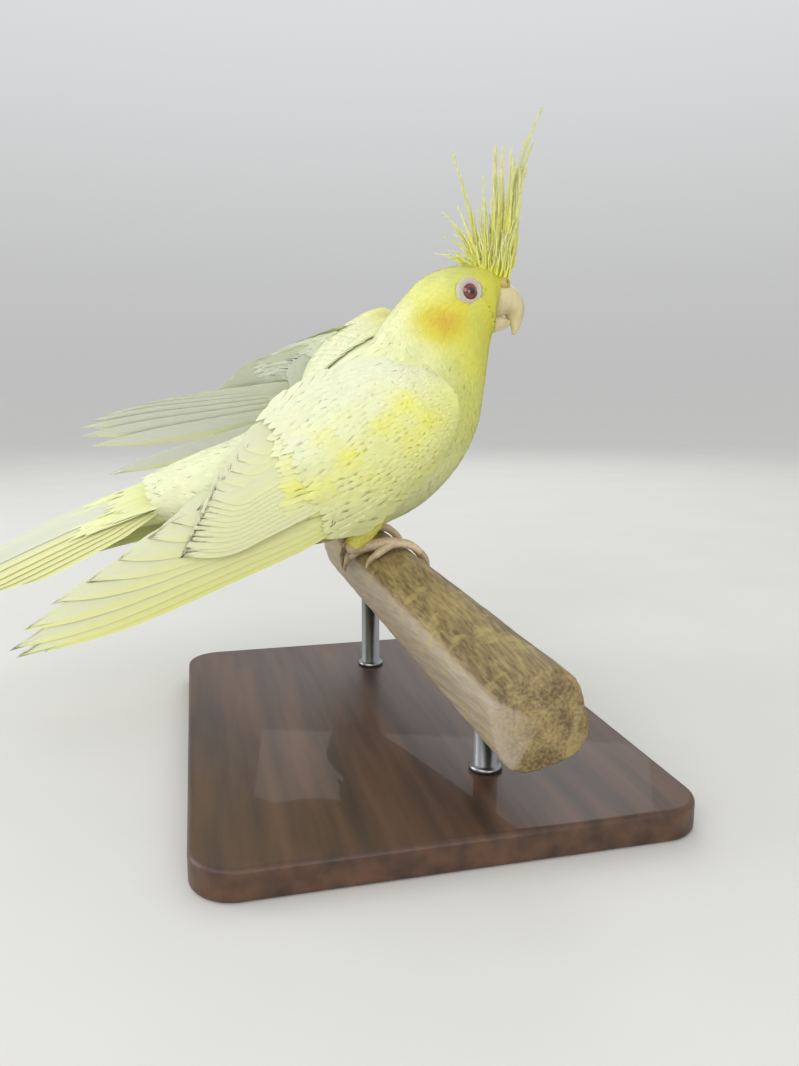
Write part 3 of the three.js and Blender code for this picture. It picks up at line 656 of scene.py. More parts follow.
def make_skin(material):
    """One skin for head, body, wings, tail root and thighs."""
    at = np.linspace(0, 1, len(BODY_TUBE.points))
    forms = [("body", shrunk(BODY_TUBE, along(COAT_DEPTH, at)[:, None]))]
    for side, core in CORES.items():
        rings = shrunk(core, along(WING_COAT, np.linspace(0, 1, len(core.points)))[:, None])
        forms.append((side, rings[: int(SKIN_SHARE * len(rings))]))
    forms.append(("shoulder", shrunk(SHOULDER_TUBE, SHOULDER_COAT)))
    forms.append(("rump", shrunk(TAIL_TUBE, RUMP_COAT)))
    for i, thigh in enumerate(THIGHS):
        forms.append((f"thigh{i}", shrunk(thigh, THIGH_COAT)))
    skin = join([closed_tube("skin_" + name, rings) for name, rings in forms])
    skin.name = "skin"
    remesh = skin.modifiers.new("remesh", "REMESH")
    remesh.mode = "VOXEL"
    remesh.voxel_size = VOXEL * MM
    smooth = skin.modifiers.new("smooth", "SMOOTH")
    smooth.iterations = 4
    applied(skin)
    sink_sockets(skin)
    set_smooth(skin.data)
    lay_out(skin)
    points = points_of(skin)
    # The skin under the lifted wing takes the underwing's tone, which carries painted light
    lifted = 0.85 * ease((points[:, 1] - 18) / 10) * ease((points[:, 2] - 50) / 8)
    add_colours(skin, lerp(body_marking_and_shade(points), LIT_UNDERWING, lifted[:, None]))
    add_floats(skin, "barb", points[:, 0] * 0.8 + points[:, 2] * 0.4)
    flesh = ["torso", "neck", "head", "wing_right", "wing_left", "tail", "thigh_right", "thigh_left"]
    return dress(skin, material, flesh)


class Unwrap:
    """Where places on the skin lie on its unwrap."""

    def __init__(self, skin):
        mesh = skin.data
        self.tree = BVHTree.FromPolygons(
            [v.co for v in mesh.vertices], [p.vertices[:] for p in mesh.polygons]
        )
        uv = np.zeros(len(mesh.loops) * 2)
        mesh.uv_layers["OFBake"].data.foreach_get("uv", uv)
        uv = uv.reshape(-1, 2)
        starts = np.zeros(len(mesh.polygons), int)
        mesh.polygons.foreach_get("loop_start", starts)
        self.middles = (uv[starts] + uv[np.minimum(starts + 2, len(uv) - 1)]) / 2

    def places(self, points):
        found = [self.tree.find_nearest(Vector(p))[2] for p in to_row(points)]
        return self.middles[np.array(found)]


# The side of a feather's own patch on the unwrap, and the most faces of one piece
PATCH = 0.003
PIECE_FACES = 95000


class Coat:
    """Feathers gathered as arrays, then made into pieces of a bounded size."""

    def __init__(self, name, material, unwrap):
        self.name = name
        self.material = material
        self.unwrap = unwrap
        self.kinds = []

    def add(self, points, faces, colours, barbs, local, roots, rim):
        """Feathers of one kind: points (n, v, 3), faces (f, 4) that each one repeats,
        colours (n, v, 3), barbs (n, v), local (v, 2) or (n, v, 2) from 0 to 1 in the
        feather's patch, the roots (n, 3) that place the patches, and the rim (v)."""
        if self._volume(points[:40], faces) < 0:
            faces = faces[:, ::-1]
        each = points.shape[:2]
        place = self.unwrap.places(roots)[:, None, :]
        patches = place + (np.broadcast_to(local, (*each, 2)) - 0.5) * PATCH
        rims = np.broadcast_to(rim, each)
        self.kinds.append((faces, (points, colours, np.broadcast_to(barbs, each), patches, rims)))

    @staticmethod
    def _volume(points, faces):
        total = 0.0
        for feather in points:
            a, b, c, d = (feather[faces[:, k]] - feather.mean(0) for k in range(4))
            total += (a * np.cross(b, c)).sum() + (a * np.cross(c, d)).sum()
        return total

    def build(self):
        """Makes the pieces, each numbered and filled up to its bound."""
        batch, count, number = [], 0, 1
        for faces, tables in self.kinds:
            step = PIECE_FACES // len(faces)
            for start in range(0, len(tables[0]), step):
                part = [table[start : start + step] for table in tables]
                size = len(part[0]) * len(faces)
                if batch and count + size > PIECE_FACES:
                    self._piece(batch, number)
                    batch, count, number = [], 0, number + 1
                batch.append((faces, part))
                count += size
        self._piece(batch, number)

    def _piece(self, batch, number):
        all_faces, base = [], 0
        for faces, part in batch:
            n, per = part[0].shape[:2]
            offset = base + (np.arange(n) * per)[:, None, None]
            all_faces.append((faces[None] + offset).reshape(-1, 4))
            base += n * per
        faces = np.concatenate(all_faces)
        columns = zip(*(part for _, part in batch))
        points, colours, barbs, patches, rims = (
            np.concatenate([table.reshape(-1, *table.shape[2:]) for table in column]) for column in columns
        )
        thing = make_mesh(f"{self.name}_{number}", points, faces)
        add_colours(thing, clamp(colours))
        add_floats(thing, "barb", barbs)
        edges = np.zeros(len(thing.data.edges) * 2, int)
        thing.data.edges.foreach_get("vertices", edges)
        sharp = rims[edges.reshape(-1, 2)].all(1)
        thing.data.attributes.new("sharp_edge", "BOOLEAN", "EDGE").data.foreach_set("value", sharp)
        layer = thing.data.uv_layers.new(name="OFBake")
        layer.data.foreach_set("uv", patches[faces.ravel()].astype(np.float32).ravel())
        dress(thing, self.material)


# Vanes. One grid serves every feather: rows from root to tip and columns across, closed
# below by a second skin that shares its rim


def vane_faces(rows, columns):
    top = np.arange(rows * columns).reshape(rows, columns)
    below = top.copy()
    inner = (rows - 2) * (columns - 2)
    below[1:-1, 1:-1] = rows * columns + np.arange(inner).reshape(rows - 2, columns - 2)

    def quads(grid):
        return np.stack([grid[:-1, :-1], grid[1:, :-1], grid[1:, 1:], grid[:-1, 1:]], -1).reshape(-1, 4)

    return np.concatenate([quads(top), quads(below)[:, [0, 3, 2, 1]]])


def vane_points(surface, f, rows, columns):
    """Points of feathers on a surface. f holds arrays: root and tip (n, 2) in the
    surface's coordinates, and in millimetres width, bow, lift (n, 2), slant, ridge,
    crown and thick; as shares blunt (where it starts to round off), taper, base, open,
    round and fringe of the tip, and the quill's place; rise is how fast it lifts."""
    n = len(f["root"])
    t = np.linspace(0, 1, rows) ** 0.92
    c = np.linspace(-1, 1, columns)
    per_a, per_b = surface.scale(*f["root"].T)
    per = np.stack([per_a, per_b], 1)
    axis = (f["tip"] - f["root"]) * per
    length = np.linalg.norm(axis, axis=1)
    axis = axis / length[:, None]
    side = np.stack([-axis[:, 1], axis[:, 0]], 1)

    def per_feather(key, default):
        return np.broadcast_to(f.get(key, default), (n,))[:, None, None]

    blunt = per_feather("blunt", 0.6)
    T = t[None, :, None]
    C = c[None, None, :]
    rounding = 1 - clamp((T - blunt) / (1 - blunt)) ** 2.2 * per_feather("taper", 1.0)
    swell = np.minimum(1, per_feather("base", 0.45) + per_feather("open", 2.4) * T) * rounding
    fringe = per_feather("fringe", 0.0)
    ragged = RNG.uniform(0, 1, (n, 1, columns)) * fringe
    reach = 1 - per_feather("round", 0.0) * np.abs(C) ** 2.2 - ragged * T**2
    edge = 1 - 0.5 * fringe * RNG.uniform(0, 1, (n, rows, columns)) * np.abs(C) ** 3
    half = f["width"][:, None, None] / 2 * (swell * edge + 0.02)
    lengthwise = length[:, None, None] * T * reach
    bend = per_feather("bow", 0.0) * 4 * T * (1 - T)
    sideways = bend + C * half

    def coordinate(k):
        root, ahead, beside, each = (table[:, k, None, None] for table in (f["root"], axis, side, per))
        return root + (ahead * lengthwise + beside * sideways) / each

    a, b = coordinate(0), coordinate(1)
    risen = 1 - (1 - clamp(T * reach)) ** per_feather("rise", 1.0)
    lift = lerp(f["lift"][:, 0, None, None], f["lift"][:, 1, None, None], risen)
    quill = per_feather("quill", 0.0)
    ridge = per_feather("ridge", 0.0) * np.exp(-(((C - quill) / 0.16) ** 2)) * (1 - 0.8 * T)
    height = lift - per_feather("slant", 0.0) * (C + 1) / 2 * swell + ridge
    height = height + per_feather("crown", 0.0) * (1 - C**2) * swell
    thick = per_feather("thick", 0.2) * (1 - 0.6 * T)
    top = surface.point(a, b, height + thick / 2)
    low = surface.point(a, b, height - thick / 2)
    points = np.concatenate([top.reshape(n, -1, 3), low[:, 1:-1, 1:-1].reshape(n, -1, 3)], 1)

    def fold(values):
        values = np.broadcast_to(values, (n, rows, columns))
        return np.concatenate([values.reshape(n, -1), values[:, 1:-1, 1:-1].reshape(n, -1)], 1)

    grid = {
        "t": fold(T * reach),
        "c": fold(C),
        "barb": fold(lengthwise - np.abs(C - quill) * half * 1.3),
    }
    return points, grid


def add_vanes(coat, surface, f, rows, columns, paint):
    """Adds feathers to a coat. paint(roots, t, c) gives colours (n, v, 3)."""
    points, grid = vane_points(surface, f, rows, columns)
    roots = surface.point(*f["root"].T, 0.0)
    colours = paint(roots, grid["t"], grid["c"])
    local = np.stack([(grid["c"] + 1) / 2, clamp(grid["t"])], -1)
    rim = np.ones((rows, columns), bool)
    rim[1:-1, 1:-1] = False
    rim = np.concatenate([rim.ravel(), np.zeros((rows - 2) * (columns - 2), bool)])
    coat.add(points, vane_faces(rows, columns), colours, grid["barb"], local, roots, rim)


def edged(base, strength, spread):
    """A paint: each feather in its own colour, paler toward its rim."""

    def paint(roots, t, c):
        colour = base(roots) if callable(base) else np.tile(base, (len(roots), 1))
        colour = clamp(colour * (1 + spread * RNG.normal(size=(len(roots), 1))))
        rim = ease((np.maximum(np.abs(c), t) - 0.55) / 0.45) * strength
        return lerp(colour[:, None, :], SHELL_WHITE, rim[..., None])

    return paint


# Contour feathers over a tube
JITTER = 0.12
TURNS = 48


def laid(tube, start, end, length, width, row_share=0.2, across_share=0.42, heading=-1):
    """Roots in staggered rows over a tube from one place to another. length and width
    are tables over the place. Returns roots, tips and widths, feathers pointing along
    the tube toward 0 if heading is -1."""
    roots, lengths, widths = [], [], []
    at, row = start, 0
    turns = np.linspace(0, 1, TURNS, endpoint=False)
    while at < end:
        long, wide = float(along(length, at)), float(along(width, at))
        per_along, per_round = tube.scale(np.full(TURNS, at), turns)
        girth = per_round.mean()
        count = max(6, int(girth / (wide * across_share)))
        turn = (np.arange(count) + 0.5 * (row % 2) + RNG.uniform(-JITTER, JITTER, count)) / count
        shift = RNG.uniform(-JITTER, JITTER, count) * long * row_share
        local = np.maximum(tube.scale(np.full(count, at), turn)[0], 0.3 * per_along.max())
        keep = RNG.uniform(0, 1, count) < clamp(1.3 * local / per_along.max(), 0.4, 1)
        roots.append(np.stack([at + shift / local, turn], 1)[keep])
        lengths.append(np.full(keep.sum(), long))
        widths.append(np.full(keep.sum(), wide))
        at += long * row_share / per_along.max()
        row += 1
    roots = np.concatenate(roots)
    lengths = np.concatenate(lengths) * RNG.uniform(0.85, 1.12, len(roots))
    widths = np.concatenate(widths) * RNG.uniform(0.88, 1.1, len(roots))
    tips = roots.copy()
    reach = lengths / tube.scale(*roots.T)[0]
    tips[:, 0] = clamp(tips[:, 0] + heading * np.minimum(reach, 0.12), -0.03, 1.03)
    return roots, tips, widths


EYE_RADIUS = 4.3
EYES = [vec(29.6, side * 9.6, 102.5) for side in (-1, 1)]
EYE_AXES = [unit(vec(0.22, side, 0.06)) for side in (-1, 1)]
BARE_RING = 4.25


def clear_of_eyes(points):
    """True for the points outside the bare ring round each eye."""
    clear = np.ones(len(points), bool)
    for eye, axis in zip(EYES, EYE_AXES):
        away = points - eye
        side = away - (away @ axis)[:, None] * axis
        clear &= (np.linalg.norm(side, axis=1) > BARE_RING) | (away @ axis < -3)
    return clear


NAPE = 0.58
BODY_LENGTH = [(0, 10), (0.2, 10), (0.4, 8.5), (NAPE, 6)]
BODY_WIDTH = [(0, 5.4), (0.2, 5.4), (0.4, 4.8), (NAPE, 3.6)]
HEAD_LENGTH = [(NAPE - 0.06, 6.5), (0.7, 5), (0.8, 4.2), (0.93, 2.8), (1, 2)]
HEAD_WIDTH = [(NAPE - 0.06, 3.0), (0.66, 2.0), (0.75, 1.4), (0.85, 1.1), (0.93, 0.85), (1, 0.65)]


SMALL_GRID = (6, 5)
SMALL_SHAPE = {"round": 0.35, "fringe": 0.12, "taper": 0.4, "blunt": 0.4, "thick": 0.04}


def add_small(coat, surface, laid_out, low, high, paint, grid=SMALL_GRID, **shape):
    """Small feathers that rise soon from their low roots to their high tips."""
    roots, tips, widths = laid_out
    lift = np.stack([np.broadcast_to(level, len(roots)) for level in (low, high)], 1)
    feathers = {"root": roots, "tip": tips, "width": widths, "lift": lift, "rise": 1.6}
    add_vanes(coat, surface, {**feathers, **SMALL_SHAPE, **shape}, *grid, paint)


def contour(coat, tube, laid_out, depth, grid, paint, **shape):
    """Small feathers of the coat, each from the skin up to the surface of the solids."""
    high = -0.08 * depth * RNG.uniform(0, 1, len(laid_out[0]))
    add_small(coat, tube, laid_out, -0.8 * depth, high, paint, grid, **shape)


def body_feathers(coat):
    ragged = {"round": 0.35, "fringe": 0.14, "blunt": 0.4, "taper": 0.4, "thick": 0.07}
    pointed = {"round": 0.1, "fringe": 0.12, "blunt": 0.2, "taper": 0.85, "thick": 0.05}
    for start, end, length, width, grid, shape in (
        (0.01, NAPE, BODY_LENGTH, BODY_WIDTH, (5, 5), ragged),
        (NAPE - 0.06, 0.992, HEAD_LENGTH, HEAD_WIDTH, (4, 3), pointed),
    ):
        roots, tips, widths = laid(BODY_TUBE, start, end, length, width)
        tips[:, 1] += RNG.normal(0, 0.35, len(tips)) / BODY_TUBE.scale(*roots.T)[1]
        keep = np.ones(len(roots), bool)
        for share in (0, 0.5, 1):
            keep &= clear_of_eyes(BODY_TUBE.point(*lerp(roots, tips, share).T))
        kept = (roots[keep], tips[keep], widths[keep])
        depth = along(COAT_DEPTH, kept[0][:, 0])
        contour(coat, BODY_TUBE, kept, depth, grid, edged(body_marking_and_shade, 0.15, 0.03), **shape)


# Wings


def tier(roots, tips, widths, lift, count=None, **more):
    """One tier of a wing from its outermost feather to its innermost. Without a count
    every feather has a tip of its own, as the primaries have."""
    n = count or len(tips)
    t = np.linspace(0, 1, n)[:, None]
    first, last = np.array(roots, float)
    feathers = {
        "root": lerp(first, last, t),
        "tip": np.array(tips, float),
        "width": lerp(*widths, t[:, 0]),
        "lift": np.tile(np.array(lift, float), (n, 1)),
        **more,
    }
    if count:
        feathers["tip"] = lerp(*feathers["tip"], t)
        feathers["tip"][:, 0] += RNG.uniform(-0.5, 0.5, n)
    return feathers


FLIGHT_GRID = (36, 11)
COVERT_GRID = (12, 7)
# Flight feathers have a raised quill before their middle; the larger coverts are softer
SHAFT = {"quill": -0.45, "ridge": 0.1, "thick": 0.15, "fringe": 0.04, "crown": 0.06}
SOFT = {"round": 0.25, "fringe": 0.08, "taper": 0.4, "thick": 0.08, "crown": 0.06, "ridge": 0.04}
PRIMARIES = 10
TIERS = {
    "primaries": dict(
        widths=(10.5, 14), lift=(-2.9, -3.6), slant=1.7,
        blunt=lerp(0.6, 0.8, np.linspace(0, 1, PRIMARIES)), **SHAFT,
    ),
    "secondaries": dict(widths=(14.5, 14.5), lift=(-1, -1.2), slant=1.9, blunt=0.76, **SHAFT),
    "tertials": dict(widths=(13, 11), lift=(-0.8, -1.2), slant=0.8, blunt=0.76, **SHAFT),
    "primary_coverts": dict(widths=(7, 5), lift=(-1.2, -1.4), slant=0.5, **SOFT),
    "greater": dict(widths=(7, 7), lift=(-0.6, -0.25), slant=0.4, **SOFT),
}
# For each tier the count, and the roots and tips of its outermost and innermost feather
RIGHT_WING = {
    "primaries": dict(
        roots=[(42, -17), (14, -3)],
        tips=[
            (160, -10.8), (168, -8.2), (169, -5), (162, -1), (150, 2.5),
            (137, 4), (124, 6), (113, 8), (103, 9.5), (94, 9),
        ],
    ),
    "secondaries": dict(count=11, roots=[(20, -2), (44, 14)], tips=[(106, -3), (88, 10)]),
    "tertials": dict(count=5, roots=[(44, 15), (40, 23)], tips=[(86, 12), (70, 20)]),
    "primary_coverts": dict(count=12, roots=[(16, -9), (30, -19)], tips=[(62, -11), (72, -19)]),
    "greater": dict(count=17, roots=[(24, -9), (40, 22)], tips=[(72, -9), (62, 19)]),
}
LEFT_WING = {
    "primaries": dict(
        roots=[(34, -13), (14, -2)],
        tips=[
            (149, -31), (152, -14), (153, -7), (151, -2), (144, 1.5),
            (136, 3.5), (127, 4.5), (118, 4.5), (109, 4), (101, 3),
        ],
    ),
    "secondaries": dict(count=12, roots=[(20, 1), (42, 15)], tips=[(100, -5), (72, 14)]),
    "tertials": dict(count=5, roots=[(38, 15), (30, 22)], tips=[(68, 15), (52, 22)]),
    "primary_coverts": dict(count=12, roots=[(16, -8), (28, -13)], tips=[(58, -12), (66, -20)]),
    "greater": dict(count=17, roots=[(22, -7), (34, 19)], tips=[(68, -10), (56, 16)]),
}
# The rounded upper face of each wing: place, middle, half breadth and fall at the edges
RIGHT_FACE = [
    (-4, 4, 5, 1.5),
    (2, 5, 14, 4),
    (12, 6, 22, 5.5),
    (25, 5, 26, 5.5),
    (40, 3, 27, 4),
    (54, 1, 26, 2.2),
    (66, 0, 26, 0.9),
    (90, 0, 28, 0),
]
LEFT_FACE = [
    (-4, 3, 5, 1.5),
    (2, 6, 14, 3.5),
    (14, 11, 22, 5),
    (28, 10, 23, 5),
    (42, 5, 20, 3.6),
    (54, 2, 17, 2),
    (66, 1, 16, 0.8),
    (90, 0, 16, 0),
]


FACE_EDGE = 0.94


class Face(Flat):
    """A wing's outer face, rounded down toward the edges of the flesh, or its inner
    face, as deep as the flesh and the flight feathers."""

    def __init__(self, sheet, sections, inner=False):
        self.sheet = sheet
        self.inner = inner
        self.rows = resampled(sections, 120)

    def outline(self, p):
        """Middle, half breadth and fall at a place along the wing."""
        return [np.interp(p, self.rows[:, 0], self.rows[:, k]) for k in (1, 2, 3)]

    def point(self, p, q, height=0.0):
        middle, breadth, fall = self.outline(p)
        away = np.abs(q - middle) / breadth
        round_off = np.sqrt(1 - np.minimum(away, FACE_EDGE) ** 2)
        if self.inner:
            flights = lerp(5.2, 3.2, ease((q + 6) / 12)) * ease((p - 20) / 20)
            down = np.maximum(fall * (1 + round_off), flights)
            return self.sheet.point(p, q, -height - down)
        down = fall * (1 - round_off + 1.4 * np.maximum(away - FACE_EDGE, 0))
        down = down + lerp(1.6, 0.6, ease((q + 12) / 8)) * ease((p - 42) / 24)
        return self.sheet.point(p, q, height - down)


COVERT_LENGTH = [(-4, 4), (8, 7), (25, 11), (50, 18)]
COVERT_WIDTH = [(-4, 2.6), (8, 3.4), (25, 4.6), (50, 6.4)]
COVERT_STEP, COVERT_SPACING = 0.17, 0.42


def small_coverts(coat, face, last, paint):
    """Rows of small feathers from the bend of the wing back over the flight feathers."""
    roots, lengths, widths = [], [], []
    p, row = -3.0, 0
    while p < last:
        long = along(COVERT_LENGTH, p)
        wide = along(COVERT_WIDTH, p)
        middle, breadth, _ = face.outline(p)
        count = int(2 * breadth / (COVERT_SPACING * wide))
        q = middle + breadth * 0.98 * np.linspace(-1, 1, count) + COVERT_SPACING / 2 * wide * (-1) ** row
        q = q + RNG.uniform(-0.3, 0.3, count)
        roots.append(np.stack([p + RNG.uniform(-0.07, 0.07, count) * long, q], 1))
        lengths.append(np.full(count, float(long)))
        widths.append(np.full(count, float(wide)))
        p += COVERT_STEP * long
        row += 1
    roots, lengths, widths = (np.concatenate(part) for part in (roots, lengths, widths))
    lengths = lengths * RNG.uniform(0.88, 1.1, len(lengths))
    inward = -0.16 * (roots[:, 1] - 2) / 22
    tips = roots + np.stack([lengths, lengths * inward], 1)
    high = RNG.uniform(0.06, 0.1, len(roots))
    add_small(coat, face, (roots, tips, widths), -0.36, high, paint, fringe=0.1, blunt=0.45, thick=0.08)


def covert_tone(wrist, along_wing, across_wing):
    """Pale toward the back and the tail, lemon toward the bend, with lemon patches."""

    def tone(points):
        p = (points - wrist) @ along_wing
        q = (points - wrist) @ across_wing
        patches = clamp(0.3 + 1.1 * waves(points, 17, 12))
        share = patches * np.exp(-(((q - 3) / 12) ** 2)) * ease((88 - p) / 34) * ease((p + 6) / 16)
        pale = lerp(CREAM, SHELL_WHITE, ease((q - 2) / 12)[:, None])
        bend = 0.4 * ease((46 - p) / 40) * ease((22 - q) / 16)
        return lerp(pale, LEMON, clamp(bend + 0.72 * share)[:, None])

    return tone


def flight_paint(lower_edge, pale):
    """Grey-cream blades with a pale rim, and lemon along the leading vane."""
    # pale moves the blades toward the underwing's tone, which carries painted light
    blade = lerp(FLIGHT, LIT_UNDERWING, pale)

    def paint(roots, t, c):
        rim = ease((np.maximum(np.abs(c), t) - 0.7) / 0.3)
        colour = lerp(blade, SHELL_WHITE, 0.4 * rim[..., None])
        lead = ease((-c - 0.1) / 0.8) * lower_edge[:, None]
        colour = lerp(colour, LEMON, 0.5 * lead[..., None])
        base = ease((0.5 - t) / 0.5)
        return lerp(colour, lerp(CREAM, LEMON, 0.15), 0.5 * base[..., None])

    return paint


BEND_LENGTH = [(0, 3.2), (0.2, 5), (0.5, 8), (1, 9)]
BEND_WIDTH = [(0, 2.4), (0.2, 3.6), (0.5, 5), (1, 5.5)]
LAST_COVERTS, LAST_LINING = 46, 50


def wing(coat, sheet, core, face, spec, tone, pale):
    """All the feathers of a wing's outer face, and its flight feathers. The lifted
    wing, which is painted pale, partly its underside's own tone and partly painted light, has flesh
    feathers only round its bend."""
    for name, surface in (("primaries", sheet), ("secondaries", sheet), ("tertials", face)):
        blades = tier(**spec[name], **TIERS[name])
        count = len(blades["root"])
        lemon = np.linspace(1, 0.2, count) if name == "primaries" else np.full(count, 0.35)
        add_vanes(coat, surface, blades, *FLIGHT_GRID, flight_paint(lemon, pale))
    paint = edged(tone, 0.3, 0.025)
    for name in ("primary_coverts", "greater"):
        blades = tier(**spec[name], **TIERS[name])
        blades["tip"][:, 0] += RNG.uniform(-1.5, 1.5, (len(blades["tip"]), 1))[:, 0]
        add_vanes(coat, face, blades, *COVERT_GRID, paint)
    small_coverts(coat, face, LAST_COVERTS, paint)
    laid_out = laid(core, 0.0, 0.8, BEND_LENGTH, BEND_WIDTH, 0.25, 0.45, heading=1)
    roots = laid_out[0]
    bare = (roots[:, 0] < 0.15) | ((np.sin(roots[:, 1] * TWO_PI) < 0.3) & (pale == 0))
    laid_out = [table[bare] for table in laid_out]
    add_small(coat, core, laid_out, -0.6, RNG.uniform(-0.1, 0.0, bare.sum()), paint, taper=0.45)


# Tail
TAIL_TIPS = [(137, 1.2), (110, 4), (90, 6.5), (80, 8.5), (71, 10.6), (62, 12.2)]
TAIL_LAYER = 0.5
TAIL_GRID = (44, 11)
# Rows over and under the tail's root: half breadth, count, root, reach, width and lift
TAIL_COVERTS = [
    (9, 15, -12, 24, 5, (0.1, 0.4)),
    (9, 15, -2, 36, 5, (-0.3, 0.2)),
    (7, 11, -10, 34, 6, (-15.5, -8.8)),
]
TAIL_BLADE, TAIL_BLADE_END = rgb(216, 219, 196), rgb(204, 207, 186)


def tail_feathers(coat):
    for side in (-1, 1):
        pair = np.arange(len(TAIL_TIPS))
        level = -0.35 - TAIL_LAYER * pair
        if side > 0:
            level[0] += TAIL_LAYER
        tips = np.array(TAIL_TIPS, float) * np.array([1, side])
        f = {
            "root": np.stack([np.full(len(pair), 4.0), side * (1 + 1.1 * pair)], 1),
            "tip": tips,
            "width": np.where(pair == 0, 9.5, 12),
            "bow": side * (0.8 + 0.2 * pair),
            "lift": np.stack([level, level], 1) * 0.75,
            "blunt": np.where(pair == 0, 0.4, 0.6),
            "quill": 0.15 * side,
            "ridge": 0.14,
            "thick": 0.18,
            "fringe": 0.05,
            "crown": 0.1,
        }
        add_vanes(coat, TAIL_SHEET, f, *TAIL_GRID, tail_paint(side))
    for half, n, root, reach, wide, lift in TAIL_COVERTS:
        across = np.linspace(-half, half, n)
        f = {
            "root": np.stack([np.full(n, float(root)), across * 0.7], 1),
            "tip": np.stack([reach + RNG.uniform(-4, 4, n), across], 1),
            "width": np.full(n, float(wide)),
            "lift": np.tile(np.array(lift, float), (n, 1)),
            "round": 0.3,
            "fringe": 0.12,
            "taper": 0.5,
            "thick": 0.08,
            "crown": 0.1,
        }
        add_vanes(coat, TAIL_SHEET, f, *COVERT_GRID, edged(CREAM, 0.5, 0.03))
    laid_out = laid(TAIL_TUBE, 0.0, 0.9, [(0, 9)], [(0, 5.4)], heading=1)
    add_small(coat, TAIL_TUBE, laid_out, -0.4, 0.05, edged(CREAM, 0.4, 0.03))


def tail_paint(side):
    def paint(roots, t, c):
        colour = lerp(TAIL_BLADE, TAIL_BLADE_END, ease(t)[..., None])
        rim = ease((np.abs(c) - 0.7) / 0.3)
        colour = lerp(colour, SHELL_WHITE, 0.35 * rim[..., None])
        if side < 0:
            colour = lerp(colour, LEMON, 0.45 * ease(-c)[..., None])
        return colour

    return paint


SHOULDER_LENGTH, SHOULDER_WIDTH = 8, 5


def shoulder_feathers(coat):
    """The feathers of the left shoulder, which point back round its two faces."""
    roots, _, widths = laid(SHOULDER_TUBE, 0.15, 0.97, [(0, SHOULDER_LENGTH)], [(0, SHOULDER_WIDTH)])
    tips = roots.copy()
    backward = np.where(np.sin(roots[:, 1] * TWO_PI) > 0, -1, 1)
    tips[:, 1] += backward * SHOULDER_LENGTH / SHOULDER_TUBE.scale(*roots.T)[1]
    add_small(coat, SHOULDER_TUBE, (roots, tips, widths), -0.6, 0.05, edged(body_marking_and_shade, 0.3, 0.03))


def thigh_feathers(coat):
    """Fluffy lemon feathers down to the ankle."""
    shape = {"round": 0.2, "fringe": 0.3, "blunt": 0.2, "taper": 0.8, "thick": 0.05}
    for thigh in THIGHS:
        laid_out = laid(thigh, 0.03, 0.93, [(0, 7), (1, 5)], [(0, 2.6), (1, 1.7)], 0.16, 0.4, heading=1)
        depth = np.full(len(laid_out[0]), 0.6)
        contour(coat, thigh, laid_out, depth, (5, 4), edged(THIGH_YELLOW, 0.2, 0.04), **shape)


# Ribbons: closed blades along free paths, with four points to each cross-section


def ribbon_faces(rows):
    faces = []
    for i in range(rows - 1):
        for j in range(4):
            k = (j + 1) % 4
            faces.append((i * 4 + j, i * 4 + k, i * 4 + 4 + k, i * 4 + 4 + j))
    faces.append((3, 2, 1, 0))
    last = (rows - 1) * 4
    faces.append((last, last + 1, last + 2, last + 3))
    return np.array(faces)


def ribbons(coat, paths, sides, half, thick, colours, roots):
    """Blades along paths (n, rows, 3), broad toward sides (n, rows, 3) or (n, 1, 3)."""
    n, rows = paths.shape[:2]
    direction = unit(np.gradient(paths, axis=1))
    sides = np.broadcast_to(sides, paths.shape)
    wide = unit(sides - direction * (sides * direction).sum(2, keepdims=True))
    normal = np.cross(direction, wide)
    half = np.broadcast_to(half, (n, rows))[..., None]
    thick = np.broadcast_to(thick, (n, rows))[..., None]
    corners = [paths + wide * half, paths + normal * thick, paths - wide * half, paths - normal * thick]
    points = np.stack(corners, 2).reshape(n, rows * 4, 3)
    colours = np.repeat(np.broadcast_to(colours, paths.shape), 4, axis=1)
    t = np.repeat(np.linspace(0, 1, rows), 4)
    across = np.tile([1.0, 0.5, 0.0, 0.5], rows)
    rim = np.tile([True, False, True, False], rows)
    coat.add(points, ribbon_faces(rows), colours, t * 4, np.stack([across, t], -1), roots, rim)


# Crest: each plume as the x and z of its root, two places on its way, and its tip
CREST_PLUMES = [
    [(47.4, 108.2), (50.2, 117), (51.6, 131), (52.0, 147)],
    [(46.9, 108.8), (50.2, 122), (52.3, 146), (61.3, 169.7)],
    [(46.4, 109.2), (49.6, 121), (51.2, 139), (54.2, 157)],
    [(45.8, 109.6), (48.7, 121), (50.2, 137), (51.8, 151)],
    [(45.2, 109.9), (47.8, 121), (49.2, 137), (49.4, 154)],
    [(44.6, 110.2), (46.9, 121), (48.0, 136), (50.0, 147)],
    [(43.9, 110.5), (45.9, 122), (46.8, 137), (46.8, 155)],
    [(43.2, 110.8), (45.0, 122), (45.6, 137), (45.6, 150)],
    [(42.5, 111.1), (44.1, 122), (44.5, 137), (44.6, 155.5)],
    [(41.9, 111.3), (43.2, 122), (43.4, 137), (43.0, 153)],
    [(41.2, 111.6), (42.2, 121), (42.4, 131), (41.8, 144)],
    [(40.4, 111.8), (41.0, 119), (41.0, 128), (40.0, 137)],
    [(39.6, 112.0), (39.6, 121), (39.2, 132), (38.3, 143.5)],
    [(38.8, 112.2), (37.2, 123), (33.9, 135), (28.4, 152.2)],
    [(38.0, 112.4), (36.6, 119), (34.6, 128), (32.4, 137)],
    [(37.2, 112.6), (35.6, 118), (32.4, 125), (28.6, 133)],
    [(36.4, 112.7), (34.0, 119), (30.0, 126), (24.4, 131.5)],
    [(35.4, 112.8), (32.8, 117), (29.4, 120.6), (24.5, 122.5)],
    [(34.2, 112.9), (31.4, 115.4), (27.4, 116.9), (21.5, 117.6)],
    [(33.0, 113.0), (30.0, 114.6), (27.4, 115.4), (24.6, 115.6)],
]
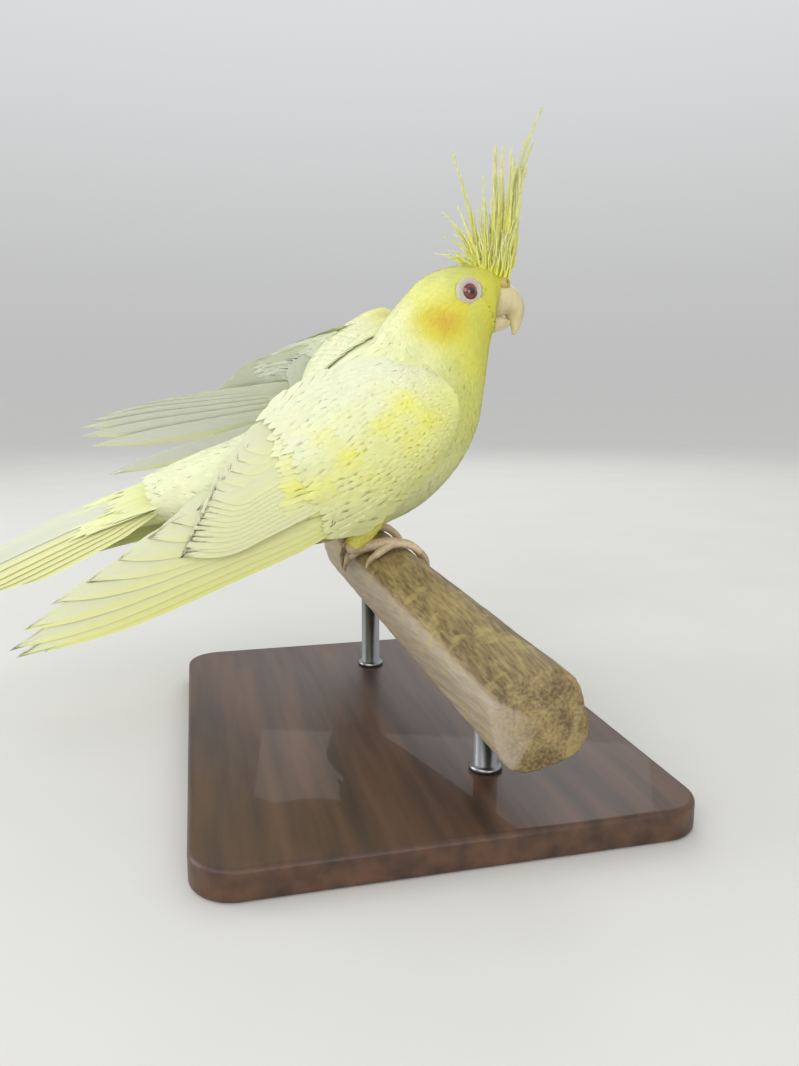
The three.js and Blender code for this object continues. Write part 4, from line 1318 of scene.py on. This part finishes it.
CREST_EXTRA, CREST_DOWN, CREST_ROWS = 70, 200, 18
# Barbs for each millimetre of a plume and of a down feather
PLUME_BARBS, DOWN_BARBS = 3.2, 1.2
CREST_TONES = (rgb(236, 230, 64), rgb(230, 230, 120), rgb(236, 236, 178))


def crest_tone(t):
    first = lerp(CREST_TONES[0], CREST_TONES[1], ease(t / 0.35)[..., None])
    return lerp(first, CREST_TONES[2], ease((t - 0.4) / 0.6)[..., None])


def crest_feathers(coat):
    """Long plumes, each a slender shaft with a soft vane and loose barbs."""
    plumes = []
    for k, path in enumerate(CREST_PLUMES):
        y = ((k * 3) % 5 - 2) * 0.75
        plumes.append([(x, y * (1 + 0.25 * i), z) for i, (x, z) in enumerate(path)])
    for extra in range(CREST_EXTRA + CREST_DOWN):
        k = RNG.uniform(0, len(CREST_PLUMES) - 2.01)
        i, f = int(k), k - int(k)
        down = extra >= CREST_EXTRA
        share = RNG.uniform(0.12, 0.42) if down else RNG.uniform(0.4, 0.9)
        y = RNG.uniform(-4.2, 4.2) if down else RNG.uniform(-2.4, 2.4)
        near, far = (np.array(CREST_PLUMES[j], float) for j in (i, i + 1))
        mixed = lerp(near, far, f)
        mixed = mixed[0] + (mixed - mixed[0]) * share
        mixed[:, 1] -= 0.09 * y**2
        mixed[1:] += RNG.normal(0, 0.3, (3, 2)) * np.array([[1], [1.4], [1.8]])
        plumes.append([(x, y * (1 + 0.15 * j), z) for j, (x, z) in enumerate(mixed)])
    rows = CREST_ROWS
    t = np.linspace(0, 1, rows)
    paths = np.stack([resampled(p, rows) for p in plumes])
    long = np.linalg.norm(np.diff(paths, axis=1), axis=2).sum(1)
    wide = clamp(long / 40, 0.45, 1.0)[:, None]
    half = wide * np.interp(t, [0, 0.12, 0.5, 0.8, 1], [0.7, 1.0, 0.8, 0.35, 0.04])
    sides = np.tile(vec(1, 0, 0), (len(paths), 1, 1))
    sides[:, 0, 1] = RNG.normal(0, 0.35, len(paths))
    colours = np.tile(crest_tone(t), (len(paths), 1, 1))
    tint = RNG.uniform(0.92, 1.06, (len(paths), 1, 1))
    roots = paths[:, 0]
    ribbons(coat, paths, sides, half, 0.08 + 0 * half, colours * tint, roots)
    ribbons(coat, paths, sides, 0.2 - 0.14 * t, 0.3 - 0.22 * t, colours * tint * 1.04, roots)
    direction = unit(np.gradient(paths, axis=1))
    for side in (-1, 1):
        starts, ways, tones, sources, sizes = [], [], [], [], []
        for k in range(len(paths)):
            down = k >= len(paths) - CREST_DOWN
            count = int(long[k] * (DOWN_BARBS if down else PLUME_BARBS))
            at = RNG.uniform(0.08, 0.985, count)
            i = at * (rows - 1)
            j = np.minimum(i.astype(int), rows - 2)
            f = (i - j)[:, None]
            starts.append(lerp(paths[k, j], paths[k, j + 1], f))
            forward = lerp(direction[k, j], direction[k, j + 1], f)
            wide_way = unit(sides[k] - forward * (sides[k] * forward).sum(1, keepdims=True))
            spread = RNG.uniform(0.07, 0.3, count)[:, None]
            twist = np.stack([0 * at, RNG.normal(0, 0.12, count), 0 * at], 1)
            ways.append(unit(forward + wide_way * side * spread + twist))
            tones.append(crest_tone(at) * tint[k, 0, 0])
            sources.append(np.tile(paths[k, 0], (count, 1)))
            sizes.append(RNG.uniform(3.0, 7.0, count) * wide[k, 0] * (1.15 - 0.65 * at))
        starts, ways, tones = (np.concatenate(part) for part in (starts, ways, tones))
        sizes = np.concatenate(sizes)[:, None, None]
        s = np.linspace(0, 1, 2)[None, :, None]
        barbs = starts[:, None] + ways[:, None] * sizes * s
        width = np.array([0.09, 0.02])
        tones = np.tile(tones[:, None], (1, 2, 1))
        ribbons(coat, barbs, vec(1, 0, 0)[None, None], width, width * 0.5, tones, np.concatenate(sources))


# Eyes, lids, cere and bill


def material_from(
    name, low, high, scale, roughness, bump, stretch=(1, 1, 1), coat=0.0, metal=0.0, soft=0.0
):
    """A mottled finish between two colours with a fine bump."""
    material, tree, shader = node_tree(name)
    place = new_node(tree, "ShaderNodeMapping", Vector=object_place(tree), Scale=stretch).outputs[0]
    noise = noise_at(tree, place, scale, 6.0)
    colour = tone_ramp(tree, noise, (0.32, low), (0.68, high))
    fine = noise_at(tree, place, scale * 4, 4.0)
    height = math_node(tree, "ADD", noise, math_node(tree, "MULTIPLY", fine, 0.5))
    settings = {
        "Roughness": roughness,
        "Coat Weight": coat,
        "Metallic": metal,
        "Subsurface Weight": soft,
        "Subsurface Scale": 0.0015,
    }
    finish(tree, shader, settings, colour, (height, bump, 0.0003))
    return material


def eye_material():
    """A deep red iris round a dark pupil, under a clear wet surface."""
    material, tree, shader = node_tree("eye")
    noise = noise_at(tree, object_place(tree), 2600.0, 3.0)
    dapple = math_node(tree, "ADD", math_node(tree, "MULTIPLY", noise, 0.5), 0.75)
    colour = mix_colour(tree, "MULTIPLY", 1.0, point_colour(tree), dapple)
    finish(tree, shader, {"Roughness": 0.12, "Coat Weight": 1.0, "Coat Roughness": 0.02}, colour)
    return material


def cere_material():
    material, tree, shader = node_tree("cere")
    finish(tree, shader, {"Roughness": 0.5}, point_colour(tree))
    return material


# How near to its poles a ball's rings start and end, and the bulge of the cornea
POLE = 0.02
CORNEA, CORNEA_SPREAD = 0.22, 0.5
# Colours from the middle of the pupil out to the edge, over the share of the radius
EYE_TONES = [
    (0.0, rgb(26, 3, 7)),
    (0.26, rgb(38, 4, 9)),
    (0.34, rgb(112, 14, 18)),
    (0.52, rgb(134, 24, 22)),
    (0.62, rgb(84, 12, 15)),
    (0.70, rgb(28, 6, 8)),
    (1.0, rgb(18, 5, 7)),
]


def frame_on(axis):
    u = unit(np.cross(vec(0, 0, 1), axis))
    return u, np.cross(axis, u)


def make_eyes():
    material = eye_material()
    for side, eye, axis in zip(("right", "left"), EYES, EYE_AXES):
        u, v = frame_on(axis)
        polar = np.linspace(POLE, math.pi - POLE, 48)
        a = angles(64)
        swell = CORNEA * np.exp(-((polar / CORNEA_SPREAD) ** 2))
        radius = EYE_RADIUS - 0.02 + swell
        off = radius * np.sin(polar)
        deep = radius * np.cos(polar)
        ring = np.cos(a)[None, :, None] * u + np.sin(a)[None, :, None] * v
        rings = eye + off[:, None, None] * ring + deep[:, None, None] * axis
        ball = closed_tube(f"eye_{side}_ball", rings)
        points = points_of(ball) - eye
        away = np.linalg.norm(points - (points @ axis)[:, None] * axis, axis=1) / EYE_RADIUS
        away = np.where(points @ axis > 0, away, 1.0)
        places = [t for t, _ in EYE_TONES]
        tones = np.array([c for _, c in EYE_TONES])
        add_colours(ball, np.stack([np.interp(away, places, tones[:, k]) for k in range(3)], 1))
        dress(ball, material, [f"eye_{side}"])


# Lids: how far out along the eye's axis and off it their middle lies, their breadth
# and height, and the folds in them
LID_MIDDLE, LID_AWAY = 2.85, 4.05
LID_BREADTH, LID_HEIGHT = 1.3, 0.62
LID_FOLDS, LID_FOLD_DEPTH = 13, 0.14


def make_lids(material):
    """Bare rings round the eyes, with the rims of the lids and finer folds outside."""
    for side, eye, axis in zip(("right", "left"), EYES, EYE_AXES):
        u, v = frame_on(axis)
        a = angles(120)
        profile = np.linspace(0, TWO_PI, 40, endpoint=False)
        out = np.cos(profile)
        up = np.sin(profile)
        folds = LID_FOLD_DEPTH * np.cos(out * LID_FOLDS) * (up > 0)
        wrinkle = 0.05 * np.sin(a * 23 + 3 * np.sin(a * 5))[:, None] * (up > 0) * (1 - out) / 2
        oval = 1 + 0.05 * np.cos(2 * a)[:, None]
        far = (LID_AWAY + LID_BREADTH * out[None]) * oval
        fall = 0.35 * clamp(out[None])
        raised = LID_MIDDLE + 0.1 + (LID_HEIGHT + folds[None] + wrinkle) * up[None] - fall
        ring = np.cos(a)[:, None, None] * u + np.sin(a)[:, None, None] * v
        points = eye + far[..., None] * ring + raised[..., None] * axis
        count, round_ = points.shape[:2]
        i, j = np.meshgrid(np.arange(count), np.arange(round_), indexing="ij")
        ni, nj = (i + 1) % count, (j + 1) % round_
        faces = np.stack([i * round_ + j, ni * round_ + j, ni * round_ + nj, i * round_ + nj], -1)
        thing = make_mesh(f"lids_{side}", points.reshape(-1, 3), faces.reshape(-1, 4))
        dress(thing, material)


def ball_rings(middle, radii, rows, around):
    polar = np.linspace(0.05, math.pi - 0.05, rows)[:, None]
    a = angles(around)
    rx, ry, rz = radii
    x = rx * np.sin(polar) * np.cos(a)
    y = ry * np.sin(polar) * np.sin(a)
    z = rz * np.cos(polar) + 0 * a
    return middle + np.stack([x, y, z], -1)


# Cere, on the left side: middle and radii of a half, its nostril and where that leads
CERE_AT, CERE_RADII = vec(45.9, 3.0, 106.9), (2.9, 3.1, 2.6)
NOSTRIL_AT, NOSTRIL_TOWARD = vec(47.3, 5.3, 107.6), vec(45.4, 2.2, 106.4)
NOSTRIL_SIZE, NOSTRIL_DEPTH = 0.75, 1.3


def make_cere(material):
    """Fleshy halves round the nostrils, at the root of the bill."""
    for side, name in ((-1, "right"), (1, "left")):
        mirror = vec(1, side, 1)
        rings = ball_rings(CERE_AT * mirror, CERE_RADII, 36, 48)
        hole = NOSTRIL_AT * mirror
        away = np.linalg.norm(rings - hole, axis=2)
        inward = unit(NOSTRIL_TOWARD * mirror - hole)
        rings = rings + inward * (NOSTRIL_DEPTH * np.exp(-((away / NOSTRIL_SIZE) ** 2)))[..., None]
        rim = np.exp(-(((away - 1.15) / 0.35) ** 2))
        rings = rings - inward * (0.14 * rim)[..., None]
        bump = waves(rings.reshape(-1, 3), 2.2, 31).reshape(away.shape)
        rings = rings - inward * (0.06 * bump)[..., None]
        thing = closed_tube(f"cere_{name}", rings)
        points = points_of(thing)
        # Painted shade: the colour darkens toward the depth of the nostril's pit
        dark = np.exp(-((np.linalg.norm(points - hole - inward * 0.9, axis=1) / NOSTRIL_SIZE) ** 2))
        add_colours(thing, lerp(rgb(188, 170, 92), rgb(70, 52, 30), clamp(1.2 * dark)[:, None]))
        dress(thing, material)


UPPER_BILL = [
    (40, 0, 102, 6.0, 7.0),
    (45, 0, 101.8, 6.1, 6.9),
    (49, 0, 100.6, 5.4, 5.9),
    (51.6, 0, 98.2, 4.3, 4.5),
    (52.5, 0, 94.9, 2.9, 3.0),
    (52.5, 0, 91.6, 1.6, 1.7),
    (51.8, 0, 88.8, 0.5, 0.5),
]
LOWER_BILL = [
    (40, 0, 92.4, 4.9, 3.7),
    (44.6, 0, 92.7, 4.4, 3.2),
    (48.2, 0, 93, 3.1, 2.1),
    (50, 0, 93.2, 1.6, 1.0),
]


def bill_rings(sections, rows=70, around=56, keel=0.0):
    """A bent horn. keel sharpens the ridge along the top and flattens the sides."""
    flat = resampled(sections, rows)
    middle = flat[:, :3]
    direction = unit(np.gradient(middle, axis=0))
    across = vec(0, 1, 0)
    above = np.cross(direction, across)
    a = angles(around)
    top = clamp(np.sin(a)) ** 3
    wide = flat[:, 3:4] * np.cos(a) * (1 - keel * top)
    deep = flat[:, 4:5] * np.sin(a) * (1 + 0.5 * keel * top)
    return middle[:, None] + wide[..., None] * across - deep[..., None] * above[:, None]


def make_bill():
    horn = material_from(
        "bill horn", rgb(196, 182, 132), rgb(222, 212, 168), 260.0, 0.36,
        stretch=(1, 1, 0.25), coat=0.25, bump=0.18, soft=0.35,
    )
    upper = bill_rings(UPPER_BILL, keel=0.12)
    t = np.linspace(0, 1, len(upper))[:, None, None]
    middle = upper.mean(1, keepdims=True)
    growth = 0.05 * np.sin(t * 60 + 1.5 * np.sin(t * 9)) * (1 - t)
    upper = upper + unit(upper - middle) * growth
    dress(closed_tube("bill_upper_horn", upper), horn, ["bill_upper"])
    lower = bill_rings(LOWER_BILL, 40, 48)
    dress(closed_tube("bill_lower_horn", lower), horn, ["bill_lower"])


# Perch, feet and claws
PERCH_RADIUS, PERCH_SWELL = 12.2, 0.014
PERCH_SLOPE = (-0.133, 0.13)
PERCH_NEAR, PERCH_FAR = -118, 38
PERCH_SQUARE, PERCH_RIDGE = 0.06, math.radians(150)


def perch_axis(y):
    return np.stack([PERCH_SLOPE[0] * y, y, PERCH_SLOPE[1] * y], -1)


def perch_radius(y, angle):
    square = 1 + PERCH_SQUARE * np.cos(4 * (angle - PERCH_RIDGE))
    return (PERCH_RADIUS - PERCH_SWELL * y) * square


def around_perch(y, angle, above):
    y, angle, above = np.broadcast_arrays(np.asarray(y, float), angle, above)
    r = perch_radius(y, angle) + above
    return perch_axis(y) + np.stack([r * np.cos(angle), 0 * r, r * np.sin(angle)], -1)


TOES = [
    ("2", 92, 48, 0.28, 5),
    ("3", 88, 26, -0.1, 6.5),
    ("1", 90, 126, 0.75, 4.5),
    ("4", 94, 150, -0.6, 6),
]
TOE_ABOVE, TOE_RADII = 2.0, [1.9, 1.7, 1.6, 1.35]
SHANK_SCUTE, TOE_SCUTE = 1.5, 1.25
CLAW_ABOVE, CLAW_ARCH, CLAW_RADII = 2.1, 1.2, [1.05, 0.85, 0.55, 0.2]


def toe_point(toe, y, outward, share, above):
    _, first, last, splay, _ = toe
    angle = np.radians(lerp(first, last, np.asarray(share, float)))
    run = np.abs(angle - math.radians(first)) * PERCH_RADIUS
    return around_perch(y - outward * splay * run, angle, above)


def scaled_limb(points, radii, scute, rows=90, around=40, squash=1.0):
    """A limb whose upper side is ringed with scutes of a given length in millimetres."""
    tube = limb_tube(points, radii, rows, around, squash)
    length = np.linalg.norm(np.diff(tube.points.mean(1), axis=0), axis=1).sum()
    t = np.linspace(0, length, rows)[:, None]
    a = angles(around)[None]
    step = np.abs(np.mod(t / scute, 1) - 0.5) * 2
    groove = -0.13 * np.clip((step - 0.72) / 0.28, 0, 1) ** 2
    pads = 0.05 * np.sin(a * 7 + t * 4)
    return tube.points + tube.normals * (groove + 0.35 * pads)[..., None]


def make_feet(material, horn):
    for side, y, outward in (("right", LEG_Y[0], 1), ("left", LEG_Y[1], -1)):
        hub = around_perch(y, math.pi / 2, 2.4)
        ankle = hub + vec(-7.5, outward, -0.6)
        shank = [hub + vec(1.5, 0, -0.2), hub, ankle]
        parts = [closed_tube("shank", scaled_limb(shank, [1.6, 2.3, 2.1], SHANK_SCUTE))]
        up_leg = [vec(-13, y, 12), vec(-9.5, y, 13.5)]
        parts.append(closed_tube("ankle", scaled_limb([ankle, *up_leg], [2.1, 2.6, 2.6], SHANK_SCUTE)))
        for toe in TOES:
            points = [toe_point(toe, y, outward, t, TOE_ABOVE) for t in (0, 0.35, 0.7, 1)]
            parts.append(closed_tube("toe", scaled_limb(points, TOE_RADII, TOE_SCUTE, squash=0.9)))
        foot = join(parts)
        foot.name = f"foot_{side}_skin"
        dress(foot, material, [f"foot_{side}"])
        per_mm = 180 / (math.pi * PERCH_RADIUS)
        claws = []
        for toe in TOES:
            span = abs(toe[2] - toe[1])
            points = []
            for t in (0, 0.4, 0.75, 1):
                above = CLAW_ABOVE + CLAW_ARCH * t * (1 - t)
                points.append(toe_point(toe, y, outward, 0.97 + toe[4] * per_mm * t / span, above))
            claws.append(closed_tube("claw", limb_tube(points, CLAW_RADII, 30, 24, 1.15).points))
        claw = join(claws)
        claw.name = f"claws_{side}_horn"
        dress(claw, horn, [f"claw_{side}_{toe[0]}" for toe in TOES])


PERCH_ROWS, PERCH_AROUND = 260, 160
# The greyer, paler side of the perch, toward the lamp on the left, partly the wood's own tone and partly
# painted light: where it starts and ends, in degrees, and how softly
GREY_FROM, GREY_TO, GREY_SOFT_FROM, GREY_SOFT_TO = 146, 246, 9, 14


def make_perch():
    """A rounded square stick with a worn, grainy surface."""
    rows, around = PERCH_ROWS, PERCH_AROUND
    y = np.linspace(PERCH_NEAR, PERCH_FAR, rows)[:, None]
    a = angles(around)[None]
    points = around_perch(y, a, 0.0)
    flat = points.reshape(-1, 3)
    stretched = flat * vec(1, 0.14, 1)
    grain = waves(stretched, 2.6, 41) * 0.10 + waves(stretched, 1.2, 42) * 0.05
    dents = np.minimum(0, waves(flat * vec(1, 0.5, 1), 14, 43) + 0.55) * 0.28
    down = unit(points - perch_axis(y[:, 0])[:, None])
    ends = np.minimum(y - PERCH_NEAR, PERCH_FAR - y) / 1.2
    rounding = -1.0 * clamp(1 - ends) ** 2
    grown = points + down * ((grain + dents).reshape(points.shape[:2]) - 0.12 + rounding)[..., None]
    perch = closed_tube("perch_wood", grown)
    flat = points_of(perch)
    degrees = np.degrees(np.arctan2(*(flat - perch_axis(flat[:, 1])).T[[2, 0]])) % 360
    # The side toward the lamp on the left is marked for a greyer, paler tone: partly painted light
    lit_grey = ease((degrees - GREY_FROM) / GREY_SOFT_FROM) * ease((GREY_TO - degrees) / GREY_SOFT_TO)
    add_floats(perch, "side", lit_grey)
    dress(perch, perch_material(), ["perch"])


def perch_material():
    """Brown grained wood, greyer and paler where its float "side" is 1, partly its own tone and partly
    painted light, with paler worn spots.
    """
    material, tree, shader = node_tree("perch wood")
    place = object_place(tree)
    long = new_node(tree, "ShaderNodeMapping", Vector=place, Scale=(1, 0.05, 1)).outputs[0]
    grain = noise_at(tree, long, 1100.0, 8.0)
    broad = noise_at(tree, long, 190.0, 5.0)
    spots = noise_at(tree, place, 130.0, 8.0)
    half_grain, half_broad = (math_node(tree, "MULTIPLY", noise, 0.5) for noise in (grain, broad))
    both = math_node(tree, "ADD", half_grain, half_broad)
    brown = tone_ramp(tree, both, (0.38, rgb(96, 78, 46)), (0.62, rgb(158, 138, 92)))
    lit_grey = mix_colour(tree, "MIX", grain, opaque(rgb(150, 136, 116)), opaque(rgb(186, 172, 150)))
    side = math_node(tree, "MULTIPLY", attribute(tree, "side"), 0.85)
    tone = mix_colour(tree, "MIX", side, brown, lit_grey)
    worn = new_node(tree, "ShaderNodeMapRange", _0=spots, _1=0.56, _2=0.66).outputs[0]
    tone = mix_colour(tree, "MIX", math_node(tree, "MULTIPLY", worn, 0.5), tone, opaque(rgb(178, 160, 100)))
    height = math_node(tree, "ADD", grain, math_node(tree, "MULTIPLY", spots, 0.6))
    finish(tree, shader, {"Roughness": 0.6}, tone, (height, 0.55, 0.0004))
    return material


BASE_SIZE, BASE_HEIGHT, BASE_CORNER, BASE_BEVEL = (136, 168), 9, 12, 1.5
ROD_RADIUS, ROD_PLACES = 3.5, (-88, 12)
# A rod's foot ring: radius and height above the base, up to the rod's own radius
ROD_FOOT = [(4.9, 0), (4.9, 1.2), (4.5, 1.6), (ROD_RADIUS, 1.8)]
ROD_END = 6


def base_ring(inset, z, steps=14):
    radius = BASE_CORNER - inset
    points = []
    for corner, (sx, sy) in enumerate(((1, 1), (-1, 1), (-1, -1), (1, -1))):
        a = math.pi / 2 * (corner + np.linspace(0, 1, steps))
        x = sx * (BASE_SIZE[0] / 2 - BASE_CORNER) + radius * np.cos(a)
        y = sy * (BASE_SIZE[1] / 2 - BASE_CORNER) + radius * np.sin(a)
        points.append(np.stack([x, y, np.full(steps, float(z))], 1))
    return np.concatenate(points) - PERCH_AT


def make_stand():
    wood = material_from(
        "stand wood", rgb(52, 33, 21), rgb(92, 62, 40), 160.0, 0.5,
        stretch=(1, 0.08, 1), coat=0.12, bump=0.15,
    )
    quarter = np.linspace(0, math.pi / 2, 8)
    ins = BASE_BEVEL * (1 - np.sin(quarter))
    ups = BASE_BEVEL * (1 - np.cos(quarter))
    levels = [*zip(ins, ups), *zip(ups, BASE_HEIGHT - ins)]
    base = closed_tube("stand_base_wood", [base_ring(*level) for level in levels])
    set_smooth(base.data, False)
    dress(base, wood, ["stand_base"])
    steel = material_from(
        "stand steel", rgb(132, 133, 136), rgb(168, 169, 172), 300.0, 0.3,
        stretch=(1, 1, 0.1), metal=1.0, bump=0.06,
    )
    for name, y in zip(("stand_rod_near", "stand_rod_far"), ROD_PLACES):
        foot = perch_axis(np.array(float(y)))
        a = angles(48)
        low = BASE_HEIGHT - PERCH_AT[2]
        levels = [(radius, low + up) for radius, up in ROD_FOOT] + [(ROD_RADIUS, foot[2] - ROD_END)]
        rings = []
        for radius, z in levels:
            circle = np.stack([np.cos(a), np.sin(a)], 1) * radius + foot[:2]
            rings.append(np.column_stack([circle, np.full(len(a), z)]))
        dress(closed_tube(name + "_steel", rings), steel, [name])


# The camera: focal length and height in the photo's pixels, and where it is and looks
FOCAL, PHOTO_HEIGHT, SENSOR = 830.0, 1066.0, 36.0
CAMERA_AT = vec(-67.1, -303.4, 68.0)
CAMERA_TURN, CAMERA_TILT = math.radians(13.8), math.radians(-9.75)
LIGHTS_AIM = Vector((0, 0.04, 0.11))


def make_camera():
    """The photograph's camera, in the row frame."""
    camera = new_object("camera", bpy.data.cameras.new("camera"))
    camera.data.sensor_width = SENSOR
    camera.data.lens = FOCAL / PHOTO_HEIGHT * SENSOR
    camera.location = to_row(CAMERA_AT)
    level = math.cos(CAMERA_TILT)
    forward = Vector(
        (math.sin(CAMERA_TURN) * level, math.cos(CAMERA_TURN) * level, math.sin(CAMERA_TILT))
    )
    camera.rotation_mode = "QUATERNION"
    camera.rotation_quaternion = forward.to_track_quat("-Z", "Y")
    camera.data.clip_start = 0.01
    bpy.context.scene.camera = camera


def make_light(name, at, size, power, colour=(1, 1, 1)):
    light = bpy.data.lights.new(name, "AREA")
    light.size, light.energy, light.color = size, power, colour
    thing = new_object(name, light)
    thing.location = at
    aim = LIGHTS_AIM - Vector(at)
    thing.rotation_euler = aim.to_track_quat("-Z", "Y").to_euler()


def make_studio():
    """Pale floor, even sky and soft lights."""
    bpy.ops.mesh.primitive_plane_add(size=60, location=(0, 0, 0))
    floor = bpy.context.object
    floor.name = "floor"
    material, tree, shader = node_tree("pale floor")
    noise = noise_at(tree, object_place(tree), 14.0, 4.0)
    tone = mix_colour(tree, "MIX", noise, opaque(rgb(214, 213, 209)), opaque(rgb(222, 221, 217)))
    finish(tree, shader, {"Roughness": 0.85}, tone)
    floor.data.materials.append(material)
    world = bpy.data.worlds.new("studio")
    bpy.context.scene.world = world
    world.use_nodes = True
    tree = world.node_tree
    sky = new_node(tree, "ShaderNodeTexCoord").outputs["Generated"]
    height = new_node(tree, "ShaderNodeSeparateXYZ", _0=sky).outputs[2]
    smooth = {"interpolation_type": "SMOOTHSTEP"}
    rise = new_node(tree, "ShaderNodeMapRange", smooth, _0=height, _1=0.0, _2=0.5)
    low, high = (0.52, 0.52, 0.52, 1), (0.74, 0.75, 0.76, 1)
    shade = mix_colour(tree, "MIX", rise.outputs[0], low, high)
    tree.links.new(shade, tree.nodes["Background"].inputs[0])
    make_light("key", (-0.6, -0.7, 0.55), 0.7, 3.6, (1, 0.98, 0.95))
    make_light("front", (0.1, -1.0, 0.3), 0.5, 2.2)
    make_light("left", (-0.9, 0.3, 0.3), 0.6, 3.6, (0.95, 0.97, 1))
    make_light("rim", (0.3, 0.9, 0.8), 0.7, 2.5)


bpy.context.scene.view_settings.view_transform = "Standard"
make_camera()
make_studio()
plumage = feather_material("plumage")
skin = make_skin(plumage)
unwrap = Unwrap(skin)
body_coat = Coat("feathers_body", plumage, unwrap)
body_feathers(body_coat)
shoulder_feathers(body_coat)
thigh_feathers(body_coat)
body_coat.build()
wing_coat = Coat("feathers_wing", plumage, unwrap)
for sheet, side, sections, spec, place in (
    (RIGHT_SHEET, "right", RIGHT_FACE, RIGHT_WING, (RIGHT_WRIST, RIGHT_P, RIGHT_Q)),
    (LEFT_SHEET, "left", LEFT_FACE, LEFT_WING, (LEFT_WRIST, LEFT_P, LEFT_Q)),
):
    # The lifted wing's flight feathers are painted paler: partly the underside's own tone, partly painted
    # light for an underside that gets little light
    pale = 0.8 if side == "left" else 0.0
    wing(wing_coat, sheet, CORES[side], Face(sheet, sections), spec, covert_tone(*place), pale)
# The lining under the lifted wing is painted in the underwing's tone, which carries painted light
lining = Face(LEFT_SHEET, LEFT_FACE, inner=True)
small_coverts(wing_coat, lining, LAST_LINING, edged(LIT_UNDERWING, 0.3, 0.025))
wing_coat.build()
tail_coat = Coat("feathers_tail", plumage, unwrap)
tail_feathers(tail_coat)
tail_coat.build()
crest_coat = Coat("crest", feather_material("crest", strength=0.15), unwrap)
crest_feathers(crest_coat)
crest_coat.build()
bare_skin = material_from("bare skin", rgb(184, 176, 158), rgb(208, 202, 184), 2200.0, 0.55, bump=0.25)
foot_skin = material_from("foot skin", rgb(190, 166, 136), rgb(218, 198, 166), 1500.0, 0.5, bump=0.35)
claw_horn = material_from(
    "claw horn", rgb(140, 120, 92), rgb(188, 168, 132), 500.0, 0.35, bump=0.15, coat=0.2
)
make_eyes()
make_lids(bare_skin)
make_cere(cere_material())
make_bill()
make_feet(foot_skin, claw_horn)
make_perch()
make_stand()
